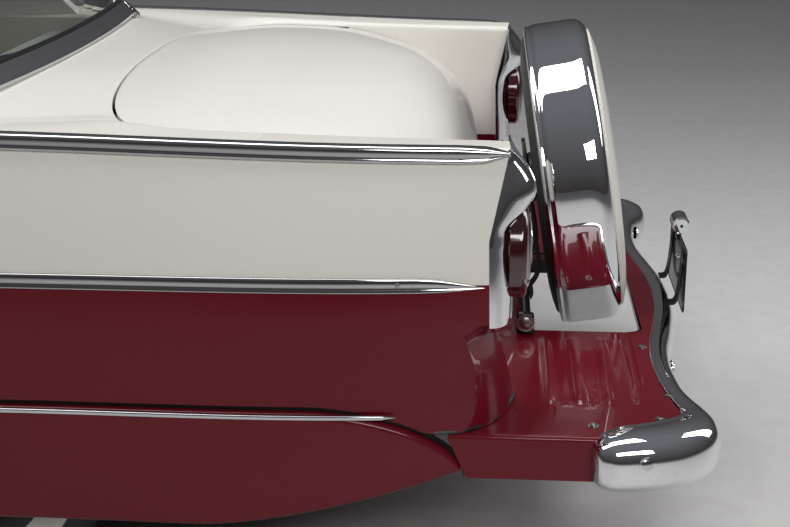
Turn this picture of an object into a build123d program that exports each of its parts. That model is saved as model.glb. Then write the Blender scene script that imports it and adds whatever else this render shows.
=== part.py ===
from build123d import *
import math
import os

# A 1950s two-door hardtop convertible car with a covered spare wheel on its rear bumper.
# Millimetres. +X forwards, +Y to the car's left, +Z up. The origin is on the floor,
# under the middle of the car.

# Wheels and axles
WHEELBASE = 2921.0
TREAD = 1473.0
TYRE_D = 708.0
TYRE_W = 170.0
RIM_D = 381.0
RIM_W = 127.0
REAR_AXLE_X = -1070.0
SPINDLE_D = 36.0
RUNNING = 0.3            # radial room of a shaft in its bore
HUB_PILOT_D = 76.0
KINGPIN_Y = 618.0
KNUCKLE_H = 200.0

# Body stations, from the tail forwards
TAIL_X = -2200.0         # upper rear corner of the rear fender
DOOR_REAR_X = -270.0
DOOR_FRONT_X = 990.0
HOOD_REAR_X = 1165.0
NOSE_X = 2420.0
PANEL_GAP = 6.0
DOOR_GAP = 7.0
SHEET = 22.0             # whole thickness of a fender wall
DOOR_INNER_Y = 848.0
SHOULDER = 20.0          # rounding along the belt
SILL_Z = 250.0
ROCKER_TOP = 335.0
ROCKER_INNER_Y = 800.0

# Body side, one row a station:
# place, belt half width, belt height, bulge half width, bulge height, sill half width
SIDE = [
    (-2230.0, 853.0, 984.0, 892.0, 690.0, 862.0),
    (-1950.0, 875.0, 988.0, 925.0, 680.0, 902.0),
    (-1280.0, 900.0, 1007.0, 938.0, 660.0, 912.0),
    (-270.0, 908.0, 1016.0, 941.0, 650.0, 912.0),
    (990.0, 898.0, 1006.0, 940.0, 650.0, 910.0),
    (1851.0, 876.0, 978.0, 932.0, 655.0, 900.0),
    (2430.0, 838.0, 938.0, 893.0, 660.0, 870.0),
]
SIDE_SWELL = 7.0         # how far each arc of the side stands out of its chord
QUARTER_INNER_Y = 760.0  # inner wall of the rear fender, beside the lid

# Rear quarter and skirt
QUARTER_DEEP_X = -1640.0  # the rear fender is boxed in behind this place
SKIRT_FRONT_X = -400.0
SKIRT_TOP_Z = 515.0
SKIRT_PROUD = 9.0
SKIRT_T = 18.0
SKIRT_LAP = 8.0          # how far the skirt's lip lies over the fender
SEAT = 0.3               # how close a piece lies to what carries it
SHELF_T = 28.0

# Deck, lid and tail panel
DECK_T = 24.0
LID_FRONT_X = -1358.0
LID_HALF = 754.0
LID_T = 26.0
LID_BOTTOM_Z = 695.0
LID_CROWN = 48.0         # how far the lid's sides lie below its middle
LID_TOP_Z = 1030.0
DECK_REAR_X = -1700.0
GLASS_BASE_X = -1225.0
TAIL_PANEL_T = 20.0

# Greenhouse
BELT_GLASS_Z = 985.0
HEADER_Z = 1432.0
ROOF_T = 26.0
GLASS_T = 6.0
FRAME_T = 34.0

# Floor and chassis
RAIL_Y = 452.0
RAIL_W = 60.0
RAIL_H = 88.0
FLOOR_T = 16.0
CABIN_FLOOR_Z = 290.0    # underside of the cabin floor
KICK_Z = 505.0           # underside over the rear axle
BOOT_FLOOR_Z = 424.0     # underside of the boot floor
FRONT_RAIL_Z = 400.0
BOOT_HALF = 620.0

# Rear apron, bumper and spare wheel
APRON_Z = 447.0
APRON_T = 8.0
APRON_SKIRT = 90.0
APRON_HALF = 898.0
BAR_X = -2577.0          # middle line of the rear bar
BAR_Z = 398.0
BAR_H = 126.0
BAR_DEPTH = 60.0
BAR_HALF = 890.0
BAR_BEND = 215.0
BAR_WRAP = 40.0
BAR_SWELL = 3.0
SPARE_X, SPARE_Z = -2357.0, 744.0
SPARE_LEAN = 9.0
COVER_D = 717.0
COVER_BAND = 140.0
COVER_T = 4.0
HOLE_FRONT_X, HOLE_REAR_X, HOLE_HALF = -2240.0, -2506.0, 306.0
PIVOT_X, PIVOT_Z, PIVOT_D = -2246.0, 478.0, 26.0

# Front bumper and lamps
NOSE_BAR_X = 2600.0
NOSE_BAR_Z = 420.0
LAMP_Y, LAMP_Z, LAMP_D = 735.0, 765.0, 178.0
TAIL_LAMP_Y, TAIL_LAMP_Z, TAIL_LAMP_D = 800.0, 790.0, 150.0
GRILLE_HALF, GRILLE_LOW, GRILLE_HIGH = 600.0, 520.0, 800.0

FRONT_AXLE_X = REAR_AXLE_X + WHEELBASE
AXLE_Z = TYRE_D / 2
WHEEL_Y = TREAD / 2
FAR = 4000.0


def at_x(x):
    """Places a pair (y, z) in the cross plane at x."""
    return lambda y, z: Vector(x, y, z)


def at_y(y):
    """Places a pair (x, z) in the lengthwise plane at y."""
    return lambda x, z: Vector(x, y, z)


def at_z(z):
    """Places a pair (x, y) in the level plane at z."""
    return lambda x, y: Vector(x, y, z)


def wire_of(points, place):
    """Closed wire. An entry of two pairs is an arc through the first to the second."""
    ends = [p[1] if isinstance(p[0], tuple) else p for p in points]
    edges = []
    for i, point in enumerate(points):
        start, end = place(*ends[i - 1]), place(*ends[i])
        if isinstance(point[0], tuple):
            edges.append(Edge.make_three_point_arc(start, place(*point[0]), end))
        else:
            edges.append(Edge.make_line(start, end))
    return Wire(edges)


def prism(points, place, run):
    """Extrudes a closed outline by the vector run."""
    return Part() + Solid.extrude(Face(wire_of(points, place)), Vector(*run))


def prism_x(points, x0, x1):
    return prism(points, at_x(x0), (x1 - x0, 0, 0))


def prism_y(points, y0, y1):
    return prism(points, at_y(y0), (0, y1 - y0, 0))


def prism_z(points, z0, z1):
    return prism(points, at_z(z0), (0, 0, z1 - z0))


def block(x0, x1, y0, y1, z0, z1):
    """Box between two corners."""
    size = (x1 - x0, y1 - y0, z1 - z0)
    return Part() + Pos((x0 + x1) / 2, (y0 + y1) / 2, (z0 + z1) / 2) * Box(*size)


def loft_of(outlines, ruled=False):
    """Loft through wires."""
    return Part() + Solid.make_loft(outlines, ruled)


def tube_y(x, z, y0, y1, radius, bore=0.0):
    """Round bar or tube along Y."""
    middle = Pos(x, (y0 + y1) / 2, z) * Rot(90, 0, 0)
    bar = middle * Cylinder(radius, abs(y1 - y0))
    if bore:
        bar = bar - middle * Cylinder(bore, abs(y1 - y0) + 2)
    return Part() + bar


def turned_y(profile, x, y, z, side=1):
    """Revolves a profile of (radius, offset along +Y) about the axle line."""
    wire = wire_of(profile, lambda r, a: Vector(x + r, y + side * a, z))
    return Part() + revolve(Face(wire), Axis((x, y, z), (0, 1, 0)), 360)


def turned_x(profile, x, y, z, side=1):
    """Revolves a profile of (radius, offset along X) about a lengthwise line."""
    wire = wire_of(profile, lambda r, a: Vector(x + side * a, y, z + r))
    return Part() + revolve(Face(wire), Axis((x, y, z), (1, 0, 0)), 360)


def dome(radius, base, height):
    """Arc entry for a turned profile: a spherical cap of that height, ending on the axis."""
    ball = (radius ** 2 + height ** 2) / (2 * height)
    half_angle = math.asin(radius / ball) / 2
    middle = (ball * math.sin(half_angle), base + height - ball * (1 - math.cos(half_angle)))
    return (middle, (0, base + height))


def far_side(shape):
    """The same shape on the car's other side."""
    return mirror(shape, about=Plane.XZ)


def both(shape):
    """A shape and its twin on the other side."""
    return Part() + [shape, far_side(shape)]


def save(name, shape):
    export_step(shape, f"parts/{name}.step")


def belt_z(x):
    """Belt height at x, straight between the stations of the side table."""
    for (x0, _, z0, *_), (x1, _, z1, *_) in zip(SIDE, SIDE[1:]):
        if x <= x1:
            return z0 + (z1 - z0) * (x - x0) / (x1 - x0)
    return SIDE[-1][2]


def side_wire(station, inset, inner, drop=0.0):
    """Cross-section of the body side, moved in by inset, closed at the inner line."""
    x, belt_y, belt, bulge_y, bulge, sill_y = station
    belt_y, bulge_y, sill_y, top = belt_y - inset, bulge_y - inset, sill_y - inset, belt - inset
    low = SILL_Z - drop
    corner = SHOULDER * 0.29
    edge = top - SHOULDER
    upper = ((belt_y + bulge_y) / 2 + SIDE_SWELL, (edge + bulge) / 2)
    lower = ((sill_y + bulge_y) / 2 + SIDE_SWELL, (low + bulge) / 2)
    return wire_of([
        (inner, low), (inner, top), (belt_y - SHOULDER, top),
        ((belt_y - corner, top - corner), (belt_y, edge)),
        (upper, (bulge_y, bulge)),
        (lower, (sill_y, low)),
    ], at_x(x))


def side_solid(inset=0.0, inner=QUARTER_INNER_Y, drop=0.0):
    """The whole left body side as one smooth loft."""
    return loft_of([side_wire(row, inset, inner, drop) for row in SIDE])


def slab_x(x0, x1):
    """Everything between two cross planes."""
    return block(x0, x1, -FAR, FAR, -FAR, FAR)


BODY_SIDE = side_solid()
os.makedirs("parts", exist_ok=True)


# Rear fenders, skirts and tail lamps

def skirt_outline(shrink):
    """Side view of the fender skirt, pulled in by shrink."""
    s = shrink
    return [
        (SKIRT_FRONT_X - s, SILL_Z), (-1600.0, SILL_Z),
        ((-1900.0, 283.0), (-2125.0 + s, 368.0)),
        ((-2088.0 + s, 448.0), (-2000.0, 497.0 - s)),
        ((-1960.0, 510.0 - s), (-1900.0, SKIRT_TOP_Z - s)),
        (SKIRT_FRONT_X - 40.0, SKIRT_TOP_Z - s),
        ((SKIRT_FRONT_X - s - 12.0, SKIRT_TOP_Z - s - 12.0), (SKIRT_FRONT_X - s, SKIRT_TOP_Z - 40.0)),
    ]


HOUSING_EDGE = [(0.0, 985.0), (35.0, 822.0), (31.0, 645.0)]  # behind the tail corner, height


def quarter_left():
    body = BODY_SIDE & slab_x(TAIL_X - 25, DOOR_REAR_X - DOOR_GAP / 2)
    body = body - block(QUARTER_DEEP_X, DOOR_REAR_X, 700, DOOR_INNER_Y, 0, SIDE[0][2] - SHELF_T)
    body = body - block(-600, DOOR_REAR_X, 700, DOOR_INNER_Y, 0, FAR)
    body = body - block(TAIL_X - 100, SKIRT_FRONT_X, 700, FAR, 0, SKIRT_TOP_Z - 60)
    body = body - prism_y(skirt_outline(0), 700, FAR)
    body = body - block(SKIRT_FRONT_X - 1, DOOR_REAR_X, 700, FAR, 0, ROCKER_TOP)
    # the tail: notched for the lamp housing, then drawn back to the lower corner
    notch = [(TAIL_X - 90.0, 1100.0)]
    notch += [(TAIL_X + dx, z) for dx, z in [(0.0, 1100.0)] + HOUSING_EDGE]
    notch += [((TAIL_X + 14.0, 570.0), (TAIL_X - 14.0, 500.0)), (TAIL_X - 14.0, 400.0),
              (TAIL_X - 90.0, 400.0)]
    return body - prism_y(notch, 600, FAR)


def skirt_left():
    """Skirt that fills the wheel opening, with a lip that lies over the fender's edge."""
    lip = (side_solid(-SKIRT_PROUD) - side_solid(-SEAT, drop=20)) & prism_y(skirt_outline(-SKIRT_LAP), 850, FAR)
    plug = side_solid(SEAT - SKIRT_PROUD) - side_solid(SKIRT_T - SKIRT_PROUD, drop=20)
    return lip + (plug & prism_y(skirt_outline(PANEL_GAP), 850, FAR))


def housing_left():
    """Bright tail lamp housing: a hood above, a straight barrel below."""
    side = [(TAIL_X + dx, z) for dx, z in HOUSING_EDGE] + [
        (TAIL_X - 10.0, 645.0), (TAIL_X - 8.0, 800.0),
        ((TAIL_X - 16.0, 842.0), (TAIL_X - 51.0, 893.0)),
        ((TAIL_X - 34.0, 940.0), (TAIL_X, 970.0)),
    ]
    shape = prism_y(side, TAIL_LAMP_Y - 88, FAR) & side_solid(-2, 712)
    bore = turned_x([(0, -30), (TAIL_LAMP_D / 2, -30), (TAIL_LAMP_D / 2, 80), (0, 80)],
                    TAIL_X + 20, TAIL_LAMP_Y, TAIL_LAMP_Z, -1)
    return shape - bore


def lens_left():
    r = TAIL_LAMP_D / 2 - RUNNING
    return turned_x([(0, 0), (r, 0), (r, 26), dome(r, 26, 36)], TAIL_X + 18, TAIL_LAMP_Y, TAIL_LAMP_Z, -1)


QUARTER = quarter_left()
save("quarter_panels", both(QUARTER))
save("fender_skirts", both(skirt_left()))
HOUSING = housing_left()
save("tail_lamp_lenses", both(lens_left()))


# Front fenders with the headlamps in their ends

def fender_left():
    skin = side_solid(0, 700) - side_solid(SHEET, 690, drop=20)
    body = skin & slab_x(DOOR_FRONT_X + DOOR_GAP / 2, NOSE_X)
    body = body + (side_solid(0, 700) & slab_x(NOSE_X - SHEET, NOSE_X))
    body = body - tube_y(FRONT_AXLE_X, AXLE_Z, 600, 1000, 395)
    body = body - block(FRONT_AXLE_X - 395, FRONT_AXLE_X + 395, 600, 1000, 0, AXLE_Z)
    body = body - block(DOOR_FRONT_X, FRONT_AXLE_X, 600, 1000, 0, ROCKER_TOP)
    body = body - block(FRONT_AXLE_X, FAR, 600, 1000, 0, 400)
    body = body - block(NOSE_X - 120, FAR, 600, 1000, 0, NOSE_BAR_Z + BAR_H / 2 + 9)
    lamp = tube_y(0, 0, -60, 60, LAMP_D / 2)
    return body - Pos(NOSE_X, LAMP_Y, LAMP_Z) * Rot(0, 0, 90) * lamp


def bezel_left():
    """Hooded ring round the headlamp."""
    r = LAMP_D / 2
    ring = [(r, 0), (r + 30, 0), ((r + 30, 26), (r + 14, 44)), (r + 2, 44), (r, 40)]
    return turned_x(ring, NOSE_X, LAMP_Y, LAMP_Z)


def headlamp_left():
    r = LAMP_D / 2 - RUNNING
    return turned_x([(0, -20), (r, -20), (r, 10), dome(r, 10, 24)], NOSE_X, LAMP_Y, LAMP_Z)


save("front_fenders", both(fender_left()))
save("lamp_bezels", both(bezel_left()) + both(HOUSING))
save("headlamp_lenses", both(headlamp_left()))


# Doors and rockers

def door_left():
    body = BODY_SIDE & slab_x(DOOR_REAR_X + DOOR_GAP / 2, DOOR_FRONT_X - DOOR_GAP / 2)
    body = body & block(-FAR, FAR, DOOR_INNER_Y, FAR, ROCKER_TOP + PANEL_GAP, FAR)
    return body


DOOR = door_left()
save("door_left", DOOR)
save("door_right", far_side(DOOR))
ROCKER = BODY_SIDE & block(SKIRT_FRONT_X, FRONT_AXLE_X - 395, ROCKER_INNER_Y, FAR, 0, ROCKER_TOP)
save("rocker_panels", both(ROCKER))


# Rear deck, boot lid and tail panel

def lid_drop(y):
    """The lid's crown: a parabola over its width."""
    return LID_CROWN * (y / LID_HALF) ** 2


def lid_wire(y, front, thickness):
    """Side view of the lid at y: level, then rolled down to the tail panel."""
    d = lid_drop(y)
    t = thickness
    top = LID_TOP_Z - d
    rear = TAIL_X + 98.0 + 8.0 * (y / LID_HALF) ** 2
    roll = (TAIL_X + 165.0, 858.0 - d)
    shoulder = (TAIL_X + 360.0, top - 26.0)
    return wire_of([
        (front, top - 8.0),
        ((TAIL_X + 600.0, top + 2.0), shoulder),
        ((TAIL_X + 247.0, 955.0 - d * 1.05), roll),
        ((TAIL_X + 127.0 + (rear - TAIL_X - 98.0) * 0.7, 775.0 - d * 0.4), (rear, LID_BOTTOM_Z)),
        (rear + t, LID_BOTTOM_Z),
        ((TAIL_X + 127.0 + t, 770.0 - d * 0.4), (roll[0] + t * 0.9, roll[1] - t * 0.35)),
        ((TAIL_X + 247.0 + t * 0.5, 955.0 - d * 1.05 - t * 0.9), (shoulder[0] + t * 0.15, shoulder[1] - t)),
        ((TAIL_X + 600.0, top + 2.0 - t), (front, top - 8.0 - t)),
    ], at_y(y))


def lid_plan(grow):
    """The lid's outline from above, with wide front corners."""
    front = LID_FRONT_X + grow
    half = LID_HALF + grow
    return [
        (TAIL_X - 200.0, -half), (DECK_REAR_X + 20.0, -half),
        ((-1490.0, -660.0 - grow), (front - 20.0, -400.0)),
        ((front, 0.0), (front - 20.0, 400.0)),
        ((-1490.0, 660.0 + grow), (DECK_REAR_X + 20.0, half)), (TAIL_X - 200.0, half),
    ]


def lid():
    spans = [-LID_HALF, -380.0, 0.0, 380.0, LID_HALF]
    blank = loft_of([lid_wire(y, LID_FRONT_X + 60.0, LID_T) for y in spans])
    return blank & prism_z(lid_plan(0), 0, FAR)


def deck_wire(x):
    """Cross-section of the deck at x."""
    edge = belt_z(x) - 14.0
    middle = edge + 30.0
    half = QUARTER_INNER_Y
    return wire_of([
        (half, edge), ((0, middle), (-half, edge)), (-half, edge - DECK_T),
        ((0, middle - DECK_T), (half, edge - DECK_T)),
    ], at_x(x))


def glass_plan(base, corner, end, shift=0.0):
    """Level outline of a curved rear glass: middle, corner and end, each (x, y)."""
    (bx, _), (cx, cy), (ex, ey) = base, corner, end
    mid = ((cx * 0.62 + ex * 0.38), (cy * 0.30 + ey * 0.70))
    outer = [(ex, ey), (mid, (cx, cy)), ((bx, 0.0), (cx, -cy)), ((mid[0], -mid[1]), (ex, -ey))]
    s = shift
    inner = [(ex + s * 0.5, -ey + s), ((mid[0] + s * 0.8, -mid[1] + s * 0.8), (cx + s, -cy + s * 0.3)),
             ((bx + s, 0.0), (cx + s, cy - s * 0.3)),
             ((mid[0] + s * 0.8, mid[1] - s * 0.8), (ex + s * 0.5, ey - s))]
    return outer + inner


REAR_BASE = ((GLASS_BASE_X, 0.0), (GLASS_BASE_X + 36.0, 660.0), (-960.0, 806.0))
REAR_TOP = ((-735.0, 0.0), (-715.0, 480.0), (-600.0, 590.0))


def rear_glass_loft(shift, low, high):
    """Ruled loft from the deck up to the roof, shift thick."""
    share = (low - BELT_GLASS_Z) / (HEADER_Z - BELT_GLASS_Z)
    top_share = (high - BELT_GLASS_Z) / (HEADER_Z - BELT_GLASS_Z)

    def between(t):
        return [(b[0] + (a[0] - b[0]) * t, b[1] + (a[1] - b[1]) * t) for b, a in zip(REAR_BASE, REAR_TOP)]
    wires = [wire_of(glass_plan(*between(share), shift), at_z(low)),
             wire_of(glass_plan(*between(top_share), shift), at_z(high))]
    return loft_of(wires, True)


DECK_FRONT = prism_z([
    (FAR, -850.0), (-800.0, -850.0), (-960.0, -780.0),
    ((-1120.0, -745.0), (GLASS_BASE_X + 66.0, -650.0)),
    ((GLASS_BASE_X + 30.0, 0.0), (GLASS_BASE_X + 66.0, 650.0)),
    ((-1120.0, 745.0), (-960.0, 780.0)), (-800.0, 850.0), (FAR, 850.0)], 0, FAR)
DECK_BLANK = loft_of([deck_wire(x) for x in (-800.0, -1225.0, DECK_REAR_X)])
DECK = DECK_BLANK - prism_z(lid_plan(PANEL_GAP), 0, FAR) - DECK_FRONT
# hinge arms under the lid's front corners, and the brackets under the deck that carry them
HINGE_Y, HINGE_W, LID_ARM_X, LID_ARM_Z = 380.0, 30.0, LID_FRONT_X - 24.0, 945.0
lid_arm = block(LID_ARM_X - 20, LID_ARM_X, HINGE_Y, HINGE_Y + HINGE_W, LID_ARM_Z, LID_TOP_Z - 40)
lid_foot = block(LID_ARM_X + SEAT, LID_FRONT_X + 40, HINGE_Y, HINGE_Y + HINGE_W, LID_ARM_Z, LID_ARM_Z + 14)
lid_foot = lid_foot + block(LID_FRONT_X + 20, LID_FRONT_X + 40, HINGE_Y, HINGE_Y + HINGE_W, LID_ARM_Z, 995)
save("rear_deck", DECK + both(lid_foot))
LID = lid() + both(lid_arm)
save("trunk_lid", LID)

TAIL_PANEL = prism_y([
    (TAIL_X + 98.0, LID_BOTTOM_Z - PANEL_GAP),
    ((TAIL_X + 70.0, 570.0), (TAIL_X + 60.0, BOOT_FLOOR_Z)),
    (TAIL_X + 60.0 + TAIL_PANEL_T, BOOT_FLOOR_Z),
    ((TAIL_X + 70.0 + TAIL_PANEL_T, 570.0), (TAIL_X + 98.0 + TAIL_PANEL_T, LID_BOTTOM_Z - PANEL_GAP)),
], -QUARTER_INNER_Y, QUARTER_INNER_Y)
save("tail_panel", TAIL_PANEL)


def hood_wire(x, half, edge, middle, thickness=DECK_T):
    """Cross-section of a crowned plate at x."""
    return wire_of([
        (half, edge), ((0, middle), (-half, edge)), (-half, edge - thickness),
        ((0, middle - thickness), (half, edge - thickness)),
    ], at_x(x))


COWL_SKIN = loft_of([hood_wire(x, 893.0, belt_z(x) - 10, belt_z(x) + 24, 26.0)
                     for x in (DOOR_FRONT_X + DOOR_GAP / 2, HOOD_REAR_X - PANEL_GAP)])
WIDE_SIDE = side_solid(0, 700)
COWL_SKIN = COWL_SKIN - WIDE_SIDE - far_side(WIDE_SIDE)


# Roof, pillars and fixed glass

def roof_wire(x, half, edge, middle):
    return wire_of([
        (half, edge), ((0, middle), (-half, edge)), (-half, edge - ROOF_T),
        ((0, middle - ROOF_T - 4.0), (half, edge - ROOF_T)),
    ], at_x(x))


# Roof stations: place, half width, edge height, middle height
ROOF = [
    (690.0, 600.0, 1408.0, 1440.0),
    (350.0, 628.0, 1424.0, 1486.0),
    (-50.0, 636.0, 1432.0, 1503.0),
    (-450.0, 622.0, 1426.0, 1490.0),
    (-790.0, 598.0, 1408.0, 1446.0),
]
ROOF_PLAN = [
    (540.0, 590.0), ((590.0, 470.0), (624.0, 300.0)), ((648.0, 0.0), (624.0, -300.0)),
    ((590.0, -470.0), (540.0, -590.0)), (500.0, -660.0), (-590.0, -660.0),
    (-610.0, -596.0), ((-700.0, -560.0), (-735.0, -470.0)), ((-760.0, 0.0), (-735.0, 470.0)),
    ((-700.0, 560.0), (-610.0, 596.0)), (-590.0, 660.0), (500.0, 660.0),
]


def pillar_left():
    """Rear quarter pillar, from the fender's top to the roof's edge."""
    foot = [(-560.0, 800.0), (-560.0, 872.0), (-955.0, 868.0), (-955.0, 812.0)]
    head = [(-400.0, 575.0), (-400.0, 622.0), (-600.0, 606.0), (-600.0, 575.0)]
    column = loft_of([wire_of(foot, at_z(BELT_GLASS_Z)), wire_of(head, at_z(1412.0))], True)
    return column - BODY_SIDE


ROOF_SKIN = loft_of([roof_wire(*row) for row in ROOF]) & prism_z(ROOF_PLAN, 0, FAR)
PILLAR = pillar_left()
ROOF_ALL = ROOF_SKIN + PILLAR + far_side(PILLAR)

# trapezoids in front view that bound the two fixed panes
WIND_LOW, WIND_HIGH = 1046.0, 1400.0
REAR_LOW, REAR_HIGH = 1062.0, 1392.0


def pane_window(low_half, high_half, low, high, x0, x1):
    return prism_x([(low_half, low), (high_half, high), (-high_half, high), (-low_half, low)], x0, x1)


def wind_wire(front, side, z, thickness):
    """Level band of the windscreen: an arc through its middle and both ends."""
    (fx, _), (sx, sy) = front, side
    t = thickness
    return wire_of([(sx, sy), ((fx, 0), (sx, -sy)), (sx - 2, -sy + t), ((fx - t, 0), (sx - 2, sy - t))],
                   at_z(z))


WIND_BASE = ((1075.0, 0.0), (645.0, 815.0))
WIND_TOP = ((632.0, 0.0), (545.0, 604.0))


def wind_loft(thickness, inset=0.0):
    low = [(p[0] - inset, max(p[1] - inset, 0.0)) for p in WIND_BASE]
    high = [(p[0] - inset, max(p[1] - inset, 0.0)) for p in WIND_TOP]
    return loft_of([wind_wire(*low, BELT_GLASS_Z, thickness),
                    wind_wire(*high, HEADER_Z, thickness)], True)


WIND_PANE = pane_window(772.0, 590.0, WIND_LOW, WIND_HIGH, 300, 1300)
COWL_TOP = 1012.0
WIND_FRAME = wind_loft(FRAME_T) - WIND_PANE
WIND_FRAME = WIND_FRAME & block(-FAR, FAR, -FAR, FAR, COWL_TOP, WIND_HIGH + 12)
WIND_FRAME = WIND_FRAME - COWL_SKIN - loft_of([roof_wire(x, h + 40, e, m) for x, h, e, m in ROOF])
WIND_FRAME = WIND_FRAME - ROOF_ALL
WIND_GLASS = (wind_loft(GLASS_T, 12) & WIND_PANE) - ROOF_ALL

REAR_PANE = pane_window(742.0, 560.0, REAR_LOW, REAR_HIGH, -1400, -500)
REAR_FRAME = rear_glass_loft(FRAME_T, BELT_GLASS_Z - 30, HEADER_Z) - REAR_PANE - DECK_BLANK - BODY_SIDE
REAR_FRAME = REAR_FRAME - far_side(BODY_SIDE) - ROOF_ALL
REAR_FRAME = REAR_FRAME & block(-FAR, FAR, -FAR, FAR, BELT_GLASS_Z, FAR)
save("roof", ROOF_ALL)
save("glass_frames", WIND_FRAME + REAR_FRAME)
save("fixed_glass", WIND_GLASS + (rear_glass_loft(GLASS_T, BELT_GLASS_Z, HEADER_Z) & REAR_PANE))


# Hood and nose

# Hood stations: place, crown above the edge
HOOD = [(HOOD_REAR_X, 42.0), (1700.0, 48.0), (2150.0, 36.0), (NOSE_X, 14.0)]
HOOD_HALF = 694.0
HOOD_ARM_X, HOOD_ARM_Y, HOOD_ARM_Z = HOOD_REAR_X + 8.0, 560.0, 920.0
hood_skin = loft_of([hood_wire(x, HOOD_HALF, belt_z(x) - 6, belt_z(x) + crown) for x, crown in HOOD])
hood_arm = block(HOOD_ARM_X, HOOD_ARM_X + 20, HOOD_ARM_Y, HOOD_ARM_Y + HINGE_W, HOOD_ARM_Z, 990)
save("hood", hood_skin + both(hood_arm))

NOSE_TOP = belt_z(NOSE_X) - 6 - DECK_T - PANEL_GAP
NOSE_T = 40.0
NOSE = block(NOSE_X - NOSE_T, NOSE_X, -700, 700, 440, NOSE_TOP)
NOSE = NOSE - block(0, FAR, -GRILLE_HALF, GRILLE_HALF, GRILLE_LOW, GRILLE_HIGH)
lamp_bore = Pos(NOSE_X, LAMP_Y, LAMP_Z) * Rot(0, 90, 0) * Cylinder(LAMP_D / 2, 200)
NOSE = NOSE - both(Part() + lamp_bore)
save("front_panel", NOSE)

GRILLE_T = 12.0
BARS_ACROSS, BARS_UP = 6, 22
bars = [block(NOSE_X - NOSE_T + 4, NOSE_X - 8, -GRILLE_HALF, GRILLE_HALF, z, z + GRILLE_T)
        for z in [GRILLE_LOW + (GRILLE_HIGH - GRILLE_LOW - GRILLE_T) * i / (BARS_ACROSS - 1)
                  for i in range(BARS_ACROSS)]]
bars += [block(NOSE_X - NOSE_T + 8, NOSE_X - 14, y - 3, y + 3, GRILLE_LOW, GRILLE_HIGH)
         for y in [-GRILLE_HALF + 2 * GRILLE_HALF * (i + 0.5) / BARS_UP for i in range(BARS_UP)]]
save("grille", Part() + bars)


# Cowl with the firewall and the hinge posts

FIREWALL_X = 1120.0
COWL_HALF = 700.0
firewall = block(FIREWALL_X, FIREWALL_X + 12, -COWL_HALF, COWL_HALF, CABIN_FLOOR_Z + FLOOR_T, 990)
post = block(DOOR_FRONT_X + DOOR_GAP, FIREWALL_X + 12, 690, 780, CABIN_FLOOR_Z + FLOOR_T, 950)
wing = block(640, FIREWALL_X, 770, 838, 900, COWL_TOP) - block(DOOR_FRONT_X + 3, FAR, 700, FAR, 950, FAR)
# seats for the hood's arms on the firewall, and the door hinges' fixed leaves on the posts
hood_seat = block(FIREWALL_X + 12, HOOD_ARM_X - SEAT, HOOD_ARM_Y, HOOD_ARM_Y + HINGE_W, HOOD_ARM_Z, HOOD_ARM_Z + 30)
leaves = [block(DOOR_FRONT_X - DOOR_GAP / 2 + SEAT, DOOR_FRONT_X + 24, 770, 866, z, z + 60)
          for z in (430.0, 800.0)]
COWL_BODY = COWL_SKIN + firewall + both(post) + both(wing) + both(hood_seat) + both(Part() + leaves)
save("cowl", COWL_BODY)


# Floor, wheelhouses and chassis frame

# Underside of the floor from the firewall back: place, height
FLOOR_LINE = [
    (FIREWALL_X + 12, CABIN_FLOOR_Z), (-330.0, CABIN_FLOOR_Z), (-400.0, 400.0), (-740.0, 430.0),
    (-800.0, KICK_Z), (-1330.0, KICK_Z), (-1400.0, BOOT_FLOOR_Z), (TAIL_X + 60 + TAIL_PANEL_T, BOOT_FLOOR_Z),
]


def band(line, thickness):
    """Closed side view of a plate whose underside follows the line."""
    upper = [(x, z + thickness) for x, z in line]
    return line + upper[::-1]


WELL_R = 400.0
floor = prism_y(band(FLOOR_LINE, FLOOR_T), -BOOT_HALF, BOOT_HALF)
side_floor = prism_y(band(FLOOR_LINE[:3], FLOOR_T), BOOT_HALF, ROCKER_INNER_Y)
side_floor = side_floor + prism_y(band([(-400.0, 400.0), (-660.0, 424.0)], FLOOR_T), BOOT_HALF, 845)
side_boot = block(TAIL_X + 60 + TAIL_PANEL_T, -1480, BOOT_HALF, QUARTER_INNER_Y, BOOT_FLOOR_Z, BOOT_FLOOR_Z + FLOOR_T)
well = tube_y(REAR_AXLE_X, AXLE_Z, BOOT_HALF, 845, WELL_R, WELL_R - 12)
well = well + tube_y(REAR_AXLE_X, AXLE_Z, BOOT_HALF, BOOT_HALF + 12, WELL_R)
well = well & block(-FAR, FAR, -FAR, FAR, 400, FAR)
tunnel = prism_x([(-110, 300), (-80, 395), (80, 395), (110, 300)], -360, FIREWALL_X)
tunnel = tunnel - prism_x([(-98, 280), (-70, 383), (70, 383), (98, 280)], -360, FIREWALL_X)
floor = floor - block(-360, FIREWALL_X, -98, 98, 280, 307)
FLOOR = floor + both(side_floor) + both(side_boot) + both(well) + tunnel
save("floor_pan", FLOOR)

# Top of the side rails: place, height
RAIL_LINE = [
    (TAIL_X + 10, BOOT_FLOOR_Z), (-1400.0, BOOT_FLOOR_Z), (-1330.0, KICK_Z), (-800.0, KICK_Z),
    (-650.0, CABIN_FLOOR_Z), (1180.0, CABIN_FLOOR_Z), (1400.0, FRONT_RAIL_Z), (2330.0, FRONT_RAIL_Z),
]
rail_low = [(x, z - RAIL_H) for x, z in RAIL_LINE]
FRONT_RAIL_IN = 55.0     # the rails run closer together past the firewall
rail = prism_y(band(rail_low, RAIL_H), RAIL_Y - RAIL_W, RAIL_Y)
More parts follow.
